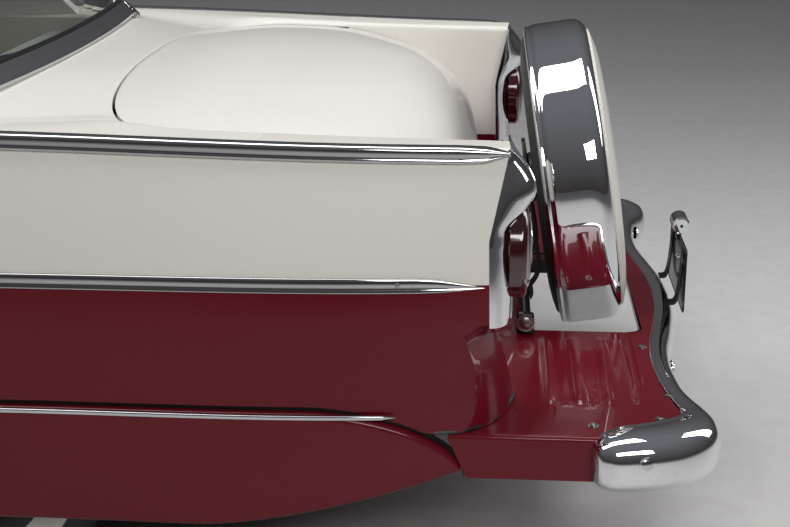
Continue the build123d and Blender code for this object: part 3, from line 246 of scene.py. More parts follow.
def pleats(name, colour, across, scale, depth=0.004):
    """Vinyl in sewn pleats: a sine ridge across one axis under a fine leather grain, with painted shade darkening each
    groove.
    """
    material, tree, shader = blank_finish(name)
    place, wave = tree.nodes.new("ShaderNodeTexCoord"), tree.nodes.new("ShaderNodeTexWave")
    wave.bands_direction = across
    wave.wave_profile = "SIN"
    wave.inputs["Scale"].default_value = scale
    marks = speckled(tree, 8.0, 240.0)
    add = tree.nodes.new("ShaderNodeMath")
    add.operation = "MULTIPLY_ADD"
    add.inputs[1].default_value = 0.08
    link = tree.links.new
    link(place.outputs["Object"], wave.inputs["Vector"])
    link(marks.outputs["Grain"], add.inputs[0])
    link(wave.outputs["Fac"], add.inputs[2])
    # painted shade: the colour falls to 62 % where the wave is low, in the grooves between the pleats
    link(ramp_between(tree, wave.outputs["Fac"], tint(colour, 0.62), colour, 0.0, 0.35), shader.inputs["Base Color"])
    link(range_of(tree, marks.outputs["Mask"], 0.38, 0.52), shader.inputs["Roughness"])
    bump(tree, shader, add.outputs["Value"], 0.7, depth)
    return material


def finishes():
    """Every finish of the car, by plain name."""
    return {
        "ivory": paint("ivory_paint", IVORY),
        "crimson": paint("crimson_paint", CRIMSON, 0.32),
        "side": two_tone("two_tone_side", TONE_Z, IVORY, CRIMSON),
        "tail": two_tone("two_tone_tail", INNER_TONE_Z, IVORY, CRIMSON),
        "chrome": metal("chrome_plate", (0.78, 0.79, 0.81), 0.04, 0.02),
        "bright": metal("polished_trim", (0.62, 0.62, 0.64), 0.12, 0.04),
        "trim": metal("rolled_trim", (0.52, 0.51, 0.51), 0.09, 0.03),
        "leather_red": dull("crimson_vinyl", (0.15, 0.010, 0.020), 0.4, 280.0, 0.0008, 0.35, 0.1),
        "steel": metal("plain_steel", (0.38, 0.37, 0.36), 0.38, 0.1),
        "iron": dull("cast_iron", (0.055, 0.06, 0.065), 0.55, 90.0, 0.001, 0.4, 0.25),
        "chassis": dull("chassis_black", (0.022, 0.022, 0.023), 0.42, 50.0, 0.0008, 0.25, 0.3),
        "rubber": dull("tyre_rubber", (0.020, 0.020, 0.021), 0.62, 140.0, 0.0006, 0.35, 0.2),
        "wall": dull("white_sidewall", (0.62, 0.60, 0.55), 0.5, 120.0, 0.0005, 0.25, 0.05),
        "seal": dull("rubber_seal", (0.012, 0.012, 0.013), 0.4, 120.0, 0.0004, 0.2, 0.2),
        "floor": dull("cabin_carpet", (0.10, 0.018, 0.028), 0.95, 420.0, 0.003, 0.8, 0.35),
        "board": dull("shelf_board", (0.48, 0.48, 0.46), 0.7, 320.0, 0.0008, 0.4, 0.08),
        "speaker": dull("speaker_cloth", (0.015, 0.015, 0.017), 0.6, 500.0, 0.0012, 0.8, 0.4),
        "glass": clear("window_glass", (0.86, 0.93, 0.91)),
        "lamp_glass": clear("lamp_glass", (0.95, 0.96, 0.97), 0.02),
        "lens": lens_red(),
        "vinyl": dull("ivory_vinyl", (0.62, 0.57, 0.47), 0.42, 260.0, 0.0008, 0.35, 0.08),
        "pleats": pleats("crimson_pleats", (0.16, 0.012, 0.022), "Y", 2.6),
        "wheel_rim": paint("ivory_rim", (0.66, 0.62, 0.53), 0.3, 9.0),
        "black": paint("black_gloss", (0.012, 0.012, 0.013), 0.3, 6.0),
    }


FINISH = finishes()


# Meshes from numpy grids

def quads(rows, columns, close_rows=False, close_columns=False):
    """Corner numbers of the quads of a grid; a closed direction joins its end to its start."""
    i = np.arange(rows if close_rows else rows - 1)[:, None]
    j = np.arange(columns if close_columns else columns - 1)[None, :]
    a, b = i * columns + j, i * columns + (j + 1) % columns
    c, d = ((i + 1) % rows) * columns + (j + 1) % columns, ((i + 1) % rows) * columns + j
    return np.stack([a, b, c, d], axis=-1).reshape(-1, 4)


def sheet(x, y, z, close_rows=False, close_columns=False):
    """A grid surface from three arrays that broadcast to the same rows and columns."""
    x, y, z = np.broadcast_arrays(x, y, z)
    points = np.stack([x, y, z], axis=-1).reshape(-1, 3)
    return points, quads(x.shape[0], x.shape[1], close_rows, close_columns)


def mirrored(block):
    """The same surface on the car's other side, its faces turned so that they still point outwards."""
    points, faces = block
    return points * (1, -1, 1), faces[:, ::-1]


def turned(block):
    return block[0], block[1][:, ::-1]


def facing(block, way):
    """The block, turned if need be so that its faces look along the given direction on average."""
    points, faces = block
    a, b, c, d = (points[faces[:, k]] for k in range(4))
    normal = np.cross(c - a, d - b).sum(axis=0)
    return block if normal @ np.array(way, float) > 0 else turned(block)


def joined(blocks):
    """Several blocks as one array of points and one of faces."""
    starts = np.cumsum([0] + [len(points) for points, _ in blocks[:-1]])
    faces = np.concatenate([f + s for (_, f), s in zip(blocks, starts)])
    return np.concatenate([p for p, _ in blocks]), faces


def piece(name, blocks, finish, body="root", stands_for=(), thick=0.0, bevel=0.0, sharp=35, closed=False):
    """One finished object: blocks merged where they meet, given a thickness inwards and soft edges."""
    points, faces = joined(blocks)
    mesh = bpy.data.meshes.new(name)
    mesh.from_pydata(points.tolist(), [], faces.tolist())
    work = bmesh.new()
    work.from_mesh(mesh)
    bmesh.ops.remove_doubles(work, verts=work.verts, dist=1e-5)
    if closed:
        bmesh.ops.recalc_face_normals(work, faces=work.faces)
    work.to_mesh(mesh)
    work.free()
    thing = bpy.data.objects.new(name, mesh)
    bpy.context.scene.collection.objects.link(thing)
    if thick:
        wall = thing.modifiers.new("wall", "SOLIDIFY")
        wall.thickness, wall.offset = thick, -1
        wall.use_even_offset = False
    if bevel:
        edge = thing.modifiers.new("edge", "BEVEL")
        edge.width, edge.segments, edge.limit_method, edge.angle_limit = bevel, 2, "ANGLE", math.radians(50)
    if thick or bevel:
        view = bpy.context.evaluated_depsgraph_get()
        mesh = bpy.data.meshes.new_from_object(thing.evaluated_get(view))
        thing.modifiers.clear()
        thing.data = mesh
    mesh.shade_smooth()
    mesh.set_sharp_from_angle(angle=math.radians(sharp))
    mesh.name = name
    mesh.materials.clear()
    mesh.materials.append(FINISH[finish])
    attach(thing, body)
    if stands_for:
        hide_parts(*stands_for)
    return thing


def through(x, column):
    """Smooth curve through the stations: cubic Hermite pieces with central-difference slopes."""
    xs, values = STATIONS[:, 0], STATIONS[:, column]
    slopes = np.gradient(values, xs)
    i = np.clip(np.searchsorted(xs, x) - 1, 0, len(xs) - 2)
    h = xs[i + 1] - xs[i]
    t = (x - xs[i]) / h
    return (values[i] * (2 * t**3 - 3 * t**2 + 1) + h * slopes[i] * (t**3 - 2 * t**2 + t)
            + values[i + 1] * (3 * t**2 - 2 * t**3) + h * slopes[i + 1] * (t**3 - t**2))


def eased(value, start, end):
    """Smoothstep: 0 before start, 1 past end, 3t^2 - 2t^3 between."""
    t = np.clip((value - start) / (end - start), 0, 1)
    return t * t * (3 - 2 * t)


def side_y(x, z):
    """Half width of the body side: above and below its widest line, a chord plus a parabola."""
    belt_y, belt_z, bulge_y, bulge_z, sill_y = (through(x, c) for c in range(1, 6))
    upper = z > bulge_z
    share = np.where(upper, (z - bulge_z) / (belt_z - SHOULDER - bulge_z), (bulge_z - z) / (bulge_z - SILL_Z))
    end = np.where(upper, belt_y, sill_y)
    share = np.clip(share, 0, 1)
    return bulge_y + (end - bulge_y) * share + 4 * SWELL * share * (1 - share)


def smooth_curve(points, t):
    """Cubic Hermite through the rows of a table; t counts rows, slopes are central differences."""
    points = np.array(points, float)
    slopes = np.gradient(points, axis=0)
    i = np.clip(t.astype(int), 0, len(points) - 2)
    s = (t - i)[..., None]
    return (points[i] * (2 * s**3 - 3 * s**2 + 1) + slopes[i] * (s**3 - 2 * s**2 + s)
            + points[i + 1] * (3 * s**2 - 2 * s**3) + slopes[i + 1] * (s**3 - s**2))


def steps(points, count):
    """That many even steps of the row number through a table."""
    return np.linspace(0, len(points) - 1, count)


def swept(path, outline, up=(0, 0, 1), ring=False, caps=True):
    """A closed outline of (across, up) pairs carried along a path, with flat ends."""
    path, outline = np.array(path, float), np.array(outline, float)
    ahead = np.roll(path, -1, 0) - np.roll(path, 1, 0) if ring else np.gradient(path, axis=0)
    ahead /= np.linalg.norm(ahead, axis=1)[:, None]
    across = np.cross(ahead, np.array(up, float))
    across /= np.linalg.norm(across, axis=1)[:, None]
    rise = np.cross(across, ahead)
    shape = outline if outline.ndim == 3 else np.broadcast_to(outline, (len(path), *outline.shape))
    grid = path[:, None] + across[:, None] * shape[..., :1] + rise[:, None] * shape[..., 1:]
    if not ring and caps:
        ends = [np.repeat(grid[k].mean(0)[None, None], grid.shape[1], 1) for k in (0, -1)]
        grid = np.concatenate([ends[0], grid, ends[1]])
    return sheet(grid[..., 0], grid[..., 1], grid[..., 2], close_rows=ring, close_columns=True)


def circle(radius, count=12, flat=1.0):
    turn = np.linspace(0, 2 * math.pi, count, endpoint=False)
    return np.stack([radius * np.cos(turn), radius * flat * np.sin(turn)], axis=-1)


def rod(points, radius, count=12, smooth=0):
    """Round bar along a path; smooth gives how many points its curve is cut to."""
    points = np.array(points, float)
    if smooth:
        points = smooth_curve(points, steps(points, smooth))
    up = (0, 0, 1) if np.ptp(points[:, :2], axis=0).max() > np.ptp(points[:, 2]) else (1, 0, 0)
    return swept(points, circle(radius, count), up)


def lathe(profile, middle, axis=1, side=1, count=64, dents=None):
    """A profile of (radius, offset) turned about a line along one axis; dents adds to the radius."""
    profile = np.array(profile, float)
    turn = np.linspace(0, 2 * math.pi, count, endpoint=False)[:, None]
    radius = profile[None, :, 0] + (0 if dents is None else dents(turn, profile[None, :, 0], profile[None, :, 1]))
    offset = side * profile[None, :, 1] + 0 * turn
    a, b = radius * np.cos(turn), radius * np.sin(turn)
    parts = {0: (offset, a, b), 1: (a, offset, b), 2: (a, b, offset)}[axis]
    return sheet(*(p + m for p, m in zip(parts, middle)), close_rows=True)


def pad(low, high, rounding=0.2, rows=12):
    """A box with every edge rounded: a superellipsoid grid between two corners."""
    low, high = np.array(low, float), np.array(high, float)
    u = np.linspace(-math.pi / 2, math.pi / 2, rows)[:, None]
    v = np.linspace(-math.pi, math.pi, rows * 2, endpoint=False)[None, :]

    def power(value):
        return np.sign(value) * np.abs(value) ** rounding

    x, y, z = power(np.cos(u)) * power(np.cos(v)), power(np.cos(u)) * power(np.sin(v)), power(np.sin(u)) + 0 * v
    middle, half = (low + high) / 2, (high - low) / 2
    return sheet(*(m + h * p for m, h, p in zip(middle, half, (x, y, z))), close_columns=True)


def bolt(spot, way, radius=0.008, height=0.005):
    """A domed bolt head on its washer, facing along way."""
    turn = np.linspace(0, 2 * math.pi, 12, endpoint=False)[:, None]
    profile = np.array([(1.5, 0), (1.5, 0.25), (1.0, 0.3), (1.0, 0.8), (0.7, 1.0), (0, 1.1)])
    way = np.array(way, float) / np.linalg.norm(way)
    side = np.cross(way, (0.31, 0.83, 0.47))
    side /= np.linalg.norm(side)
    over = np.cross(way, side)
    points = (np.array(spot) + (radius * profile[:, 0] * np.cos(turn))[..., None] * side
              + (radius * profile[:, 0] * np.sin(turn))[..., None] * over
              + (height * profile[:, 1] + 0 * turn)[..., None] * way)
    return sheet(points[..., 0], points[..., 1], points[..., 2], close_rows=True)


SHOULDER_ROWS = 8


def side_panel(u, rear, front, low, rows=44, proud=0.0):
    """Left body side between two edges, from the shoulder's inner line down to low(x).

    rear(z) and front(z) give the ends and u their share. The shoulder is a quarter circle."""
    turn = np.linspace(math.pi / 2, 0, SHOULDER_ROWS)[None, :-1]
    down = np.linspace(0, 1, rows)[None, :]
    u = np.asarray(u)[:, None]
    x = rear(1.0) + (front(1.0) - rear(1.0)) * u + np.zeros((1, SHOULDER_ROWS - 1 + rows))
    for _ in range(4):
        edge = through(x, BELT_Z) - SHOULDER
        round_z = edge[:, :SHOULDER_ROWS - 1] + (SHOULDER + proud) * np.sin(turn)
        bottom = low(x[:, SHOULDER_ROWS - 1:])
        flat_z = edge[:, SHOULDER_ROWS - 1:] * (1 - down) + bottom * down
        z = np.concatenate([round_z, flat_z], axis=1)
        x = rear(z) + (front(z) - rear(z)) * u
    y = side_y(x, z) + proud
    head = slice(None), slice(0, SHOULDER_ROWS - 1)
    y[head] = through(x[head], BELT_Y) - SHOULDER + (SHOULDER + proud) * np.cos(turn)
    return x, y, z


# Rear fenders, skirts, tail lamps

SEAM = [(0.400, 0.031), (0.645, 0.031), (0.822, 0.035), (0.985, 0.0), (1.1, 0.0)]   # height, place ahead of the tail
FOOT_REAR = [(0.447, -0.018), (0.510, -0.008), (0.580, 0.009), (0.645, 0.026)]
FOOT_CORNER = [(0.447, 0.119), (0.600, 0.095), (0.645, 0.080)]
FOOT_INNER = [(0.447, 0.700), (0.645, 0.770)]
SKIRT_REAR_X, SKIRT_FRONT_X = -2.125, -0.400
SKIRT_CREST_X, SKIRT_LOW_Z, SKIRT_TOP_Z, SKIRT_POWER = -1.830, 0.370, 0.507, 1.75
SKIRT_GAP = 0.010


def along(table, value):
    """Straight runs through a short table of (value, result)."""
    xs, ys = zip(*table)
    return np.interp(value, xs, ys)


def opening_z(x):
    """Edge of the skirt's opening: level, then a quarter of a superellipse down to the tail."""
    share = np.clip((SKIRT_CREST_X - x) / (SKIRT_CREST_X - SKIRT_REAR_X), 0, 1)
    return SKIRT_LOW_Z + (SKIRT_TOP_Z - SKIRT_LOW_Z) * (1 - share**SKIRT_POWER) ** (1 / SKIRT_POWER)


def quarter_low(x):
    edge = np.maximum(opening_z(x), APRON_Z + 0.002)
    return np.where(x > SKIRT_FRONT_X + 0.001, ROCKER_TOP, edge)


def quarter_side():
    """Outer face of the rear fender. Under the lamp it turns the tail's corner on a quarter ellipse."""
    spread = np.concatenate([np.linspace(0, 0.935, 76), [0.9363, 0.9375], np.linspace(0.945, 1, 14)])
    front = DOOR_REAR_X - DOOR_GAP / 2
    x, y, z = side_panel(spread, lambda h: TAIL_X + along(SEAM, h), lambda h: front + 0 * h, quarter_low)
    corner_x, rear_x, inner_y = TAIL_X + along(FOOT_CORNER, z), TAIL_X + along(FOOT_REAR, z), along(FOOT_INNER, z)
    share = np.clip((x - TAIL_X - along(SEAM, z)) / (corner_x - TAIL_X - along(SEAM, z)), 0, 1)
    turn = (1 - share) * math.pi / 2
    round_x = corner_x - (corner_x - rear_x) * np.sin(turn)
    round_y = inner_y + (side_y(corner_x, z) - inner_y) * np.cos(turn)
    below = (1 - eased(z, 0.640, 0.662)) * (share < 1)
    return sheet(x + (round_x - x) * below, y + (round_y - y) * below, z)


def fender_inside():
    """Inner wall of the fender behind the lid, with a rounded edge up to the belt strip."""
    x = np.linspace(TAIL_X, TAIL_X + 0.46, 40)[:, None]
    top, out = through(x, BELT_Z), through(x, BELT_Y) - 0.020
    turn = np.linspace(0, math.pi / 2, 9)[None, :]
    round_y, round_z = 0.772 - 0.014 * np.sin(turn), top - 0.002 - 0.014 * (1 - np.cos(turn))
    down = np.linspace(0, 1, 24)[None, 1:]
    y = np.concatenate([out, round_y + 0 * x, np.full((40, 23), 0.758)], axis=1)
    wall_z = round_z[:, -1:] + (APRON_Z + 0.004 - round_z[:, -1:]) * down
    z = np.concatenate([top, round_z, wall_z], axis=1)
    back = along(SEAM, z) * (z > 0.645) + 0.03 * (z <= 0.645)
    return sheet(x + back * (1 - eased(x, TAIL_X, TAIL_X + 0.12)), y, z)


def quarter_jamb():
    """Door shut face at the fender's front end, and its inner panel beside the rear seat."""
    front = DOOR_REAR_X - DOOR_GAP / 2
    z = np.linspace(ROCKER_TOP, through(front, BELT_Z) - 0.004, 30)[:, None]
    across = np.linspace(0, 1, 6)[None, :]
    shut_y = (side_y(front, z) - 0.001) * (1 - across) + 0.770 * across
    shut = sheet(front + 0 * across, shut_y, z)
    x = np.linspace(-1.360, front, 50)[None, :]
    inner = sheet(x, 0.770 + 0 * x, ROCKER_TOP + (through(x, BELT_Z) - 0.020 - ROCKER_TOP) * np.linspace(0, 1, 20)[:, None])
    sill = sheet(x, np.array([[0.770], [0.830], [0.890]]), through(x, BELT_Z) - np.array([[0.020], [0.006], [0.001]]))
    return facing(shut, (1, 0, 0)), facing(inner, (0, -1, 0)), facing(sill, (0, 0, 1))


def rear_fenders():
    side = facing(quarter_side(), (0, 1, 0))
    piece("quarter_skin", [side, mirrored(side)], "side", stands_for=["quarter_panels"], thick=0.004)
    wall = facing(fender_inside(), (0, -1, 0.3))
    piece("tail_inner_walls", [wall, mirrored(wall)], "tail", thick=0.003)
    parts = quarter_jamb()
    piece("quarter_jambs", [parts[0], mirrored(parts[0])], "side", thick=0.003)
    piece("quarter_trim_panels", [parts[1], parts[2], mirrored(parts[1]), mirrored(parts[2])], "vinyl",
          thick=0.003)


def skirt_panel(low_gap, proud):
    """Skirt between its curved upper edge and its swept-up lower edge, its rim rolled inwards."""
    u = np.concatenate([np.linspace(0, 0.25, 36), np.linspace(0.25, 1, 48)[1:]])[:, None]
    v = (1 - np.cos(np.linspace(0, math.pi, 30)[None, :])) / 2
    x = SKIRT_REAR_X + 0.006 + (SKIRT_FRONT_X - 0.006 - SKIRT_REAR_X - 0.006) * u**1.25
    corner = 0.040
    top = opening_z(x) - low_gap - 0.03 * (1 - np.sqrt(1 - np.clip((x - SKIRT_FRONT_X + corner) / corner, 0, 0.98) ** 2))
    low = 0.250 + 0.120 * np.clip((-1.620 - x) / 0.505, 0, 1) ** 1.5
    top = np.maximum(top, low + 0.002)
    z = low + (top - low) * v
    rim = np.minimum(np.minimum(z - low, top - z), 0.014) / 0.014
    end = np.minimum(SKIRT_FRONT_X - 0.006 - x, 0.014) / 0.014
    roll = 1 - np.sqrt(np.clip(1 - (1 - np.minimum(rim, end)) ** 2, 0, 1))
    return sheet(x, side_y(x, z) + proud - (proud + 0.006) * roll, z)


def flat_strip(x0, x1, z, half, proud, base, taper=0.0, points=60):
    """Bright strip along the side: a shallow dome in section, its rear end drawn to a point over taper."""
    x = np.linspace(x0, x1, points)[:, None]
    across = np.linspace(-1, 1, 11)[None, :]
    width = half * (np.sqrt(np.clip(1 - (1 - np.clip((x - x0) / taper, 0, 1)) ** 2, 0, 1)) if taper else 1)
    height = z + across * width
    lift = proud * (1 - across**4) * np.minimum(1, 0.25 + width / half)
    return sheet(x, base(x, height) + lift - 0.002 * (np.abs(across) == 1), height)


def skirts():
    skin = facing(skirt_panel(SKIRT_GAP, 0.009), (0, 1, 0))
    piece("skirt_skin", [skin, mirrored(skin)], "crimson", stands_for=["fender_skirts"], thick=0.005)
    seal_x = np.concatenate([np.linspace(SKIRT_REAR_X, SKIRT_CREST_X, 70), np.linspace(SKIRT_CREST_X, SKIRT_FRONT_X, 30)[1:]])
    across = np.linspace(0, 1, 5)[None, :]
    z = opening_z(seal_x)[:, None] + 0.002 - (SKIRT_GAP + 0.012) * across
    seal = facing(sheet(seal_x[:, None], side_y(seal_x[:, None], z) - 0.003 - 0.008 * across, z), (0, 1, 0))
    piece("skirt_seals", [seal, mirrored(seal)], "seal", thick=0.004)
    strip = facing(flat_strip(-1.998, SKIRT_FRONT_X - 0.02, 0.4885, 0.0055, 0.004,
                              lambda x, z: side_y(x, z) + 0.0085, 0.004), (0, 1, 0))
    piece("skirt_strips", [strip, mirrored(strip)], "bright", thick=0.002)


HOOD_REAR = [(0.645, -0.004), (0.660, -0.011), (0.800, -0.009), (0.842, -0.016), (0.868, -0.034), (0.898, -0.052),
             (0.920, -0.046), (0.945, -0.031), (0.965, -0.014), (0.984, 0.0)]


def lamp_housing():
    """Bright housing: in plan a half ellipse from the paint seam round the back; in side view the hood's outline."""
    z = np.concatenate([np.linspace(0.640, 0.660, 5), np.linspace(0.670, 0.800, 10),
                        np.linspace(0.808, 0.984, 20)])[:, None]
    turn = np.linspace(0, math.pi, 33)[None, :]
    seam, rear = TAIL_X + along(SEAM, z), TAIL_X + along(HOOD_REAR, z)
    outer = side_y(seam, z) + 0.0015
    middle = 0.800 + 0 * z
    half = np.where(turn < math.pi / 2, outer - middle, 0.080)
    squeeze = eased(z, 0.984, 0.900) ** 0.3
    flat = np.abs(np.cos(turn)) ** 0.8 * np.sign(np.cos(turn))
    y = middle + half * flat
    x = seam - (seam - rear) * np.sin(turn) ** 0.9
    waist = 0.006 * np.exp(-((z - 0.835) / 0.014) ** 2) * np.sin(turn)
    under = np.concatenate([[0.55], np.linspace(0.8, 1, 4), np.ones(30)])[:, None]
    y = middle + (y - middle) * under
    cap_top = sheet(x[-1:] + (TAIL_X + 0.012 - x[-1:]) * np.array([[0.0], [1.0]]), y[-1:] * np.array([[1.0], [1.0]]),
                    z[-1:] + np.array([[0.0], [0.004]]))
    return [sheet(x + waist, y, z + 0 * squeeze), cap_top]


def tail_lamps():
    blocks = [facing(block, (-1, 0.4, 0)) for block in lamp_housing()[:1]]
    piece("tail_lamp_housings", blocks + [mirrored(b) for b in blocks], "chrome",
          stands_for=["lamp_bezels"], thick=0.004)
    turn = np.linspace(0, 2 * math.pi, 64, endpoint=False)[:, None]
    step = np.linspace(0, 1, 26)[None, :]
    radius = np.where(step < 0.3, 1.0, np.cos((step - 0.3) / 0.7 * math.pi / 2) ** 0.75)
    depth = np.where(step < 0.3, step / 0.3 * 0.022, 0.022 + 0.019 * np.sin((step - 0.3) / 0.7 * math.pi / 2))
    rings = 0.0012 * np.cos(radius * 34) * (step > 0.35)
    lens = facing(sheet(TAIL_X - 0.003 - depth - rings, 0.800 + 0.080 * radius * np.cos(turn),
                        0.785 + 0.093 * radius * np.sin(turn), close_rows=True), (-1, 0, 0))
    piece("tail_lenses", [lens, mirrored(lens)], "lens", stands_for=["tail_lamp_lenses"])


# Boot lid, deck and tail panel

LID_FRONT_X, LID_HALF, LID_CROWN, LID_TOP_Z, LID_BOTTOM_Z, DECK_REAR_X = -1.358, 0.754, 0.048, 1.030, 0.695, -1.700
LID_SIDE_X = DECK_REAR_X + 0.020


# The lid's side view from the level part down to its foot, at its middle and at its sides: ahead of the tail, height
ROLL_MIDDLE = [(0.500, 1.0265), (0.430, 1.0235), (0.360, 1.0175), (0.300, 1.010), (0.245, 0.999), (0.200, 0.983),
               (0.158, 0.960), (0.122, 0.926), (0.096, 0.880), (0.080, 0.825), (0.069, 0.760), (0.060, 0.695)]
ROLL_SIDE = [(0.500, 0.9785), (0.430, 0.971), (0.360, 0.954), (0.310, 0.937), (0.268, 0.916), (0.234, 0.888),
             (0.206, 0.856), (0.180, 0.820), (0.156, 0.785), (0.137, 0.755), (0.120, 0.725), (0.106, 0.695)]


def top_z(x, y):
    """Height of the lid's level part and the deck round it: a low arch lengthwise less a parabola over the width."""
    ahead = x - TAIL_X
    along_z = 1.0265 + 0.0045 * np.sin(np.clip((ahead - 0.5) / 0.32, 0, 1) * math.pi) - 0.006 * eased(ahead, 0.62, 0.86)
    return along_z - LID_CROWN * (y / LID_HALF) ** 2


def front_outline(w, grow=0.0):
    """The lid's front edge in plan for w from -1 to 1: straight middle, wide superelliptic corners."""
    half, depth = LID_HALF + grow, LID_FRONT_X + grow - LID_SIDE_X
    turn = w * math.pi / 2
    power = 0.72
    y = half * np.sign(turn) * np.abs(np.sin(turn)) ** power
    x = LID_SIDE_X + depth * np.abs(np.cos(turn)) ** (power * 0.72)
    return x, y


def lid_sheet():
    """Level part from the rounded front edge back, then the roll: middle and side views mixed by width squared."""
    w = np.linspace(-1, 1, 81)[None, :]
    front_x, front_y = front_outline(w)
    s = np.linspace(0, 1, 36)[:-1, None]
    level_x = front_x + (TAIL_X + 0.5 - front_x) * s
    level_y = front_y + (LID_HALF * w - front_y) * eased(s, 0.0, 0.95)
    mid = smooth_curve(ROLL_MIDDLE, steps(ROLL_MIDDLE, 54))[:, None]
    side = smooth_curve(ROLL_SIDE, steps(ROLL_SIDE, 54))[:, None]
    roll = mid + (side - mid) * (w**2)[..., None]
    x = np.concatenate([level_x, TAIL_X + roll[..., 0]])
    y = np.concatenate([level_y, LID_HALF * w + 0 * roll[..., 0]])
    return sheet(x, y, np.concatenate([top_z(level_x, level_y), roll[..., 1]]))


GLASS_BASE_X = -1.225


def deck_sheet():
    """Fixed panel round the lid: a ring from the belt strips and glass moulding in to the lid's seam."""
    side_x = np.linspace(TAIL_X + 0.46, LID_SIDE_X, 16, endpoint=False)
    w = np.linspace(1, 0, 60)
    seam_x, seam_y = front_outline(w, PANEL_GAP)
    reach = np.linspace(0, 1, 60)
    turn = np.clip((reach - 0.42) / 0.58, 0, 1) * math.pi / 2
    corner_x, corner_y = -0.930, 0.862
    outer_x = np.where(reach < 0.42, LID_SIDE_X + (corner_x - LID_SIDE_X) * reach / 0.42,
                       GLASS_BASE_X + 0.052 + (corner_x - GLASS_BASE_X - 0.052) * (1 - np.sin(turn)) ** 0.9)
    outer_y = np.where(reach < 0.42, through(outer_x, BELT_Y) - 0.020, corner_y * np.cos(turn) ** 0.8)
    inner_x, inner_y = np.concatenate([side_x, seam_x]), np.concatenate([np.full(16, LID_HALF + PANEL_GAP), seam_y])
    outer_x = np.concatenate([side_x, outer_x])
    outer_y = np.concatenate([through(side_x, BELT_Y) - 0.020, outer_y])
    r = np.linspace(0, 1, 20)[None, :]
    outer_z = through(outer_x, BELT_Z) - 0.001 + 0.012 * (1 - np.clip(outer_y / 0.86, 0, 1) ** 2)
    inner_z = top_z(inner_x, inner_y)
    x = outer_x[:, None] + (inner_x - outer_x)[:, None] * r
    y = outer_y[:, None] + (inner_y - outer_y)[:, None] * r
    beside = eased(inner_y, 0.60, 0.75)[:, None]
    roll = 1 - np.sqrt(1 - 0.999 * np.clip((r - 0.8) / 0.2, 0, 1) ** 2)
    z = outer_z[:, None] + (inner_z - outer_z)[:, None] * (beside * roll + (1 - beside) * eased(r, 0, 1))
    return sheet(x, y, z)


def tail_panel_sheet():
    """Panel under the lid, bowed rearwards like the lid's foot, with a soft step under the gap."""
    y = np.linspace(-0.757, 0.757, 60)[None, :]
    z = np.linspace(APRON_Z - 0.022, LID_BOTTOM_Z - PANEL_GAP, 30)[:, None]
    ahead = 0.061 + 0.046 * (y / LID_HALF) ** 2 + 0.010 * np.exp(-((LID_BOTTOM_Z - z) / 0.03) ** 2)
    return sheet(TAIL_X + ahead, y, z)


def rear_body():
    lid = facing(lid_sheet(), (-0.3, 0, 1))
    piece("lid_skin", [lid], "ivory", body="trunk_lid", stands_for=["trunk_lid"], thick=0.022, bevel=0.003)
    deck = facing(deck_sheet(), (0, 0, 1))
    piece("deck_skin", [deck, mirrored(deck)], "ivory", stands_for=["rear_deck"], thick=0.020, bevel=0.0025)
    panel = facing(tail_panel_sheet(), (-1, 0, 0))
    piece("tail_panel_skin", [panel], "crimson", stands_for=["tail_panel"], thick=0.016)


rear_fenders()
skirts()
tail_lamps()
rear_body()


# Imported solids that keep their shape

KEPT = {
    "rocker_panels": "crimson", "roof": "ivory", "fixed_glass": "glass", "hood": "ivory",
    "front_panel": "crimson", "grille": "chrome", "cowl": "ivory", "floor_pan": "floor", "chassis_frame": "chassis",
    "engine_block": "iron", "radiator": "black", "exhaust": "steel", "fuel_tank": "steel", "rear_axle": "chassis",
    "front_suspension": "chassis", "knuckle_left": "iron", "knuckle_right": "iron", "splash_apron": "crimson",
    "rear_bumper": "chrome", "bumper_brackets": "black", "spare_tyre": "rubber", "spare_cover": "chrome",
    "spare_carrier": "chassis", "front_bumper": "chrome", "seats": "vinyl", "dashboard": "crimson",
    "steering_column": "crimson", "steering_wheel": "wheel_rim", "parcel_shelf": "board", "body_trim": "bright",
    "door_left": "side", "door_right": "side", "front_fenders": "side", "headlamp_lenses": "lamp_glass",
    "firewall": "black", "transmission_tunnel": "floor", "rear_floor": "floor",
    "wheelhouses": "floor", "crossmembers": "chassis", "spare_cover_face": "ivory", "rear_glass_moulding": "chrome", "glass_frames": "chrome",
    "fender_skirts": "crimson", "quarter_panels": "side", "lamp_bezels": "chrome", "tail_lamp_lenses": "lens",
    "rear_deck": "ivory", "trunk_lid": "ivory", "tail_panel": "crimson",
}
for corner in ("front_left", "front_right", "rear_left", "rear_right"):
    KEPT[f"tyre_{corner}"], KEPT[f"wheel_{corner}"] = "rubber", "crimson"
for node, finish in KEPT.items():
    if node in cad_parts:
        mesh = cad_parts[node].data
        mesh.materials.clear()
        mesh.materials.append(FINISH[finish])


# Apron, rear bumper, plate holder

# The bar's left half in plan: how far it lies ahead of its middle, half width, heading, half depth, half height
REAR_LINE = np.array([
    (0, 0, 0, 0.025, 0.050), (0.005, 0.12, 2, 0.025, 0.050), (0.022, 0.25, 5, 0.025, 0.050),
    (0.040, 0.37, 3, 0.025, 0.050), (0.046, 0.48, 0, 0.025, 0.051), (0.043, 0.56, -4, 0.026, 0.052),
    (0.035, 0.64, -9, 0.027, 0.053), (0.022, 0.70, -12, 0.030, 0.0545), (0.009, 0.745, -8, 0.034, 0.056),
    (0.004, 0.780, 12, 0.039, 0.058), (0.008, 0.815, 35, 0.044, 0.059), (0.030, 0.850, 55, 0.048, 0.060),
    (0.065, 0.880, 66, 0.050, 0.060), (0.110, 0.902, 71, 0.049, 0.0595), (0.150, 0.916, 72, 0.046, 0.058),
    (0.182, 0.930, 72, 0.039, 0.0535), (0.200, 0.9365, 72, 0.029, 0.046), (0.210, 0.9405, 72, 0.019, 0.036),
    (0.2145, 0.942, 72, 0.008, 0.018)])
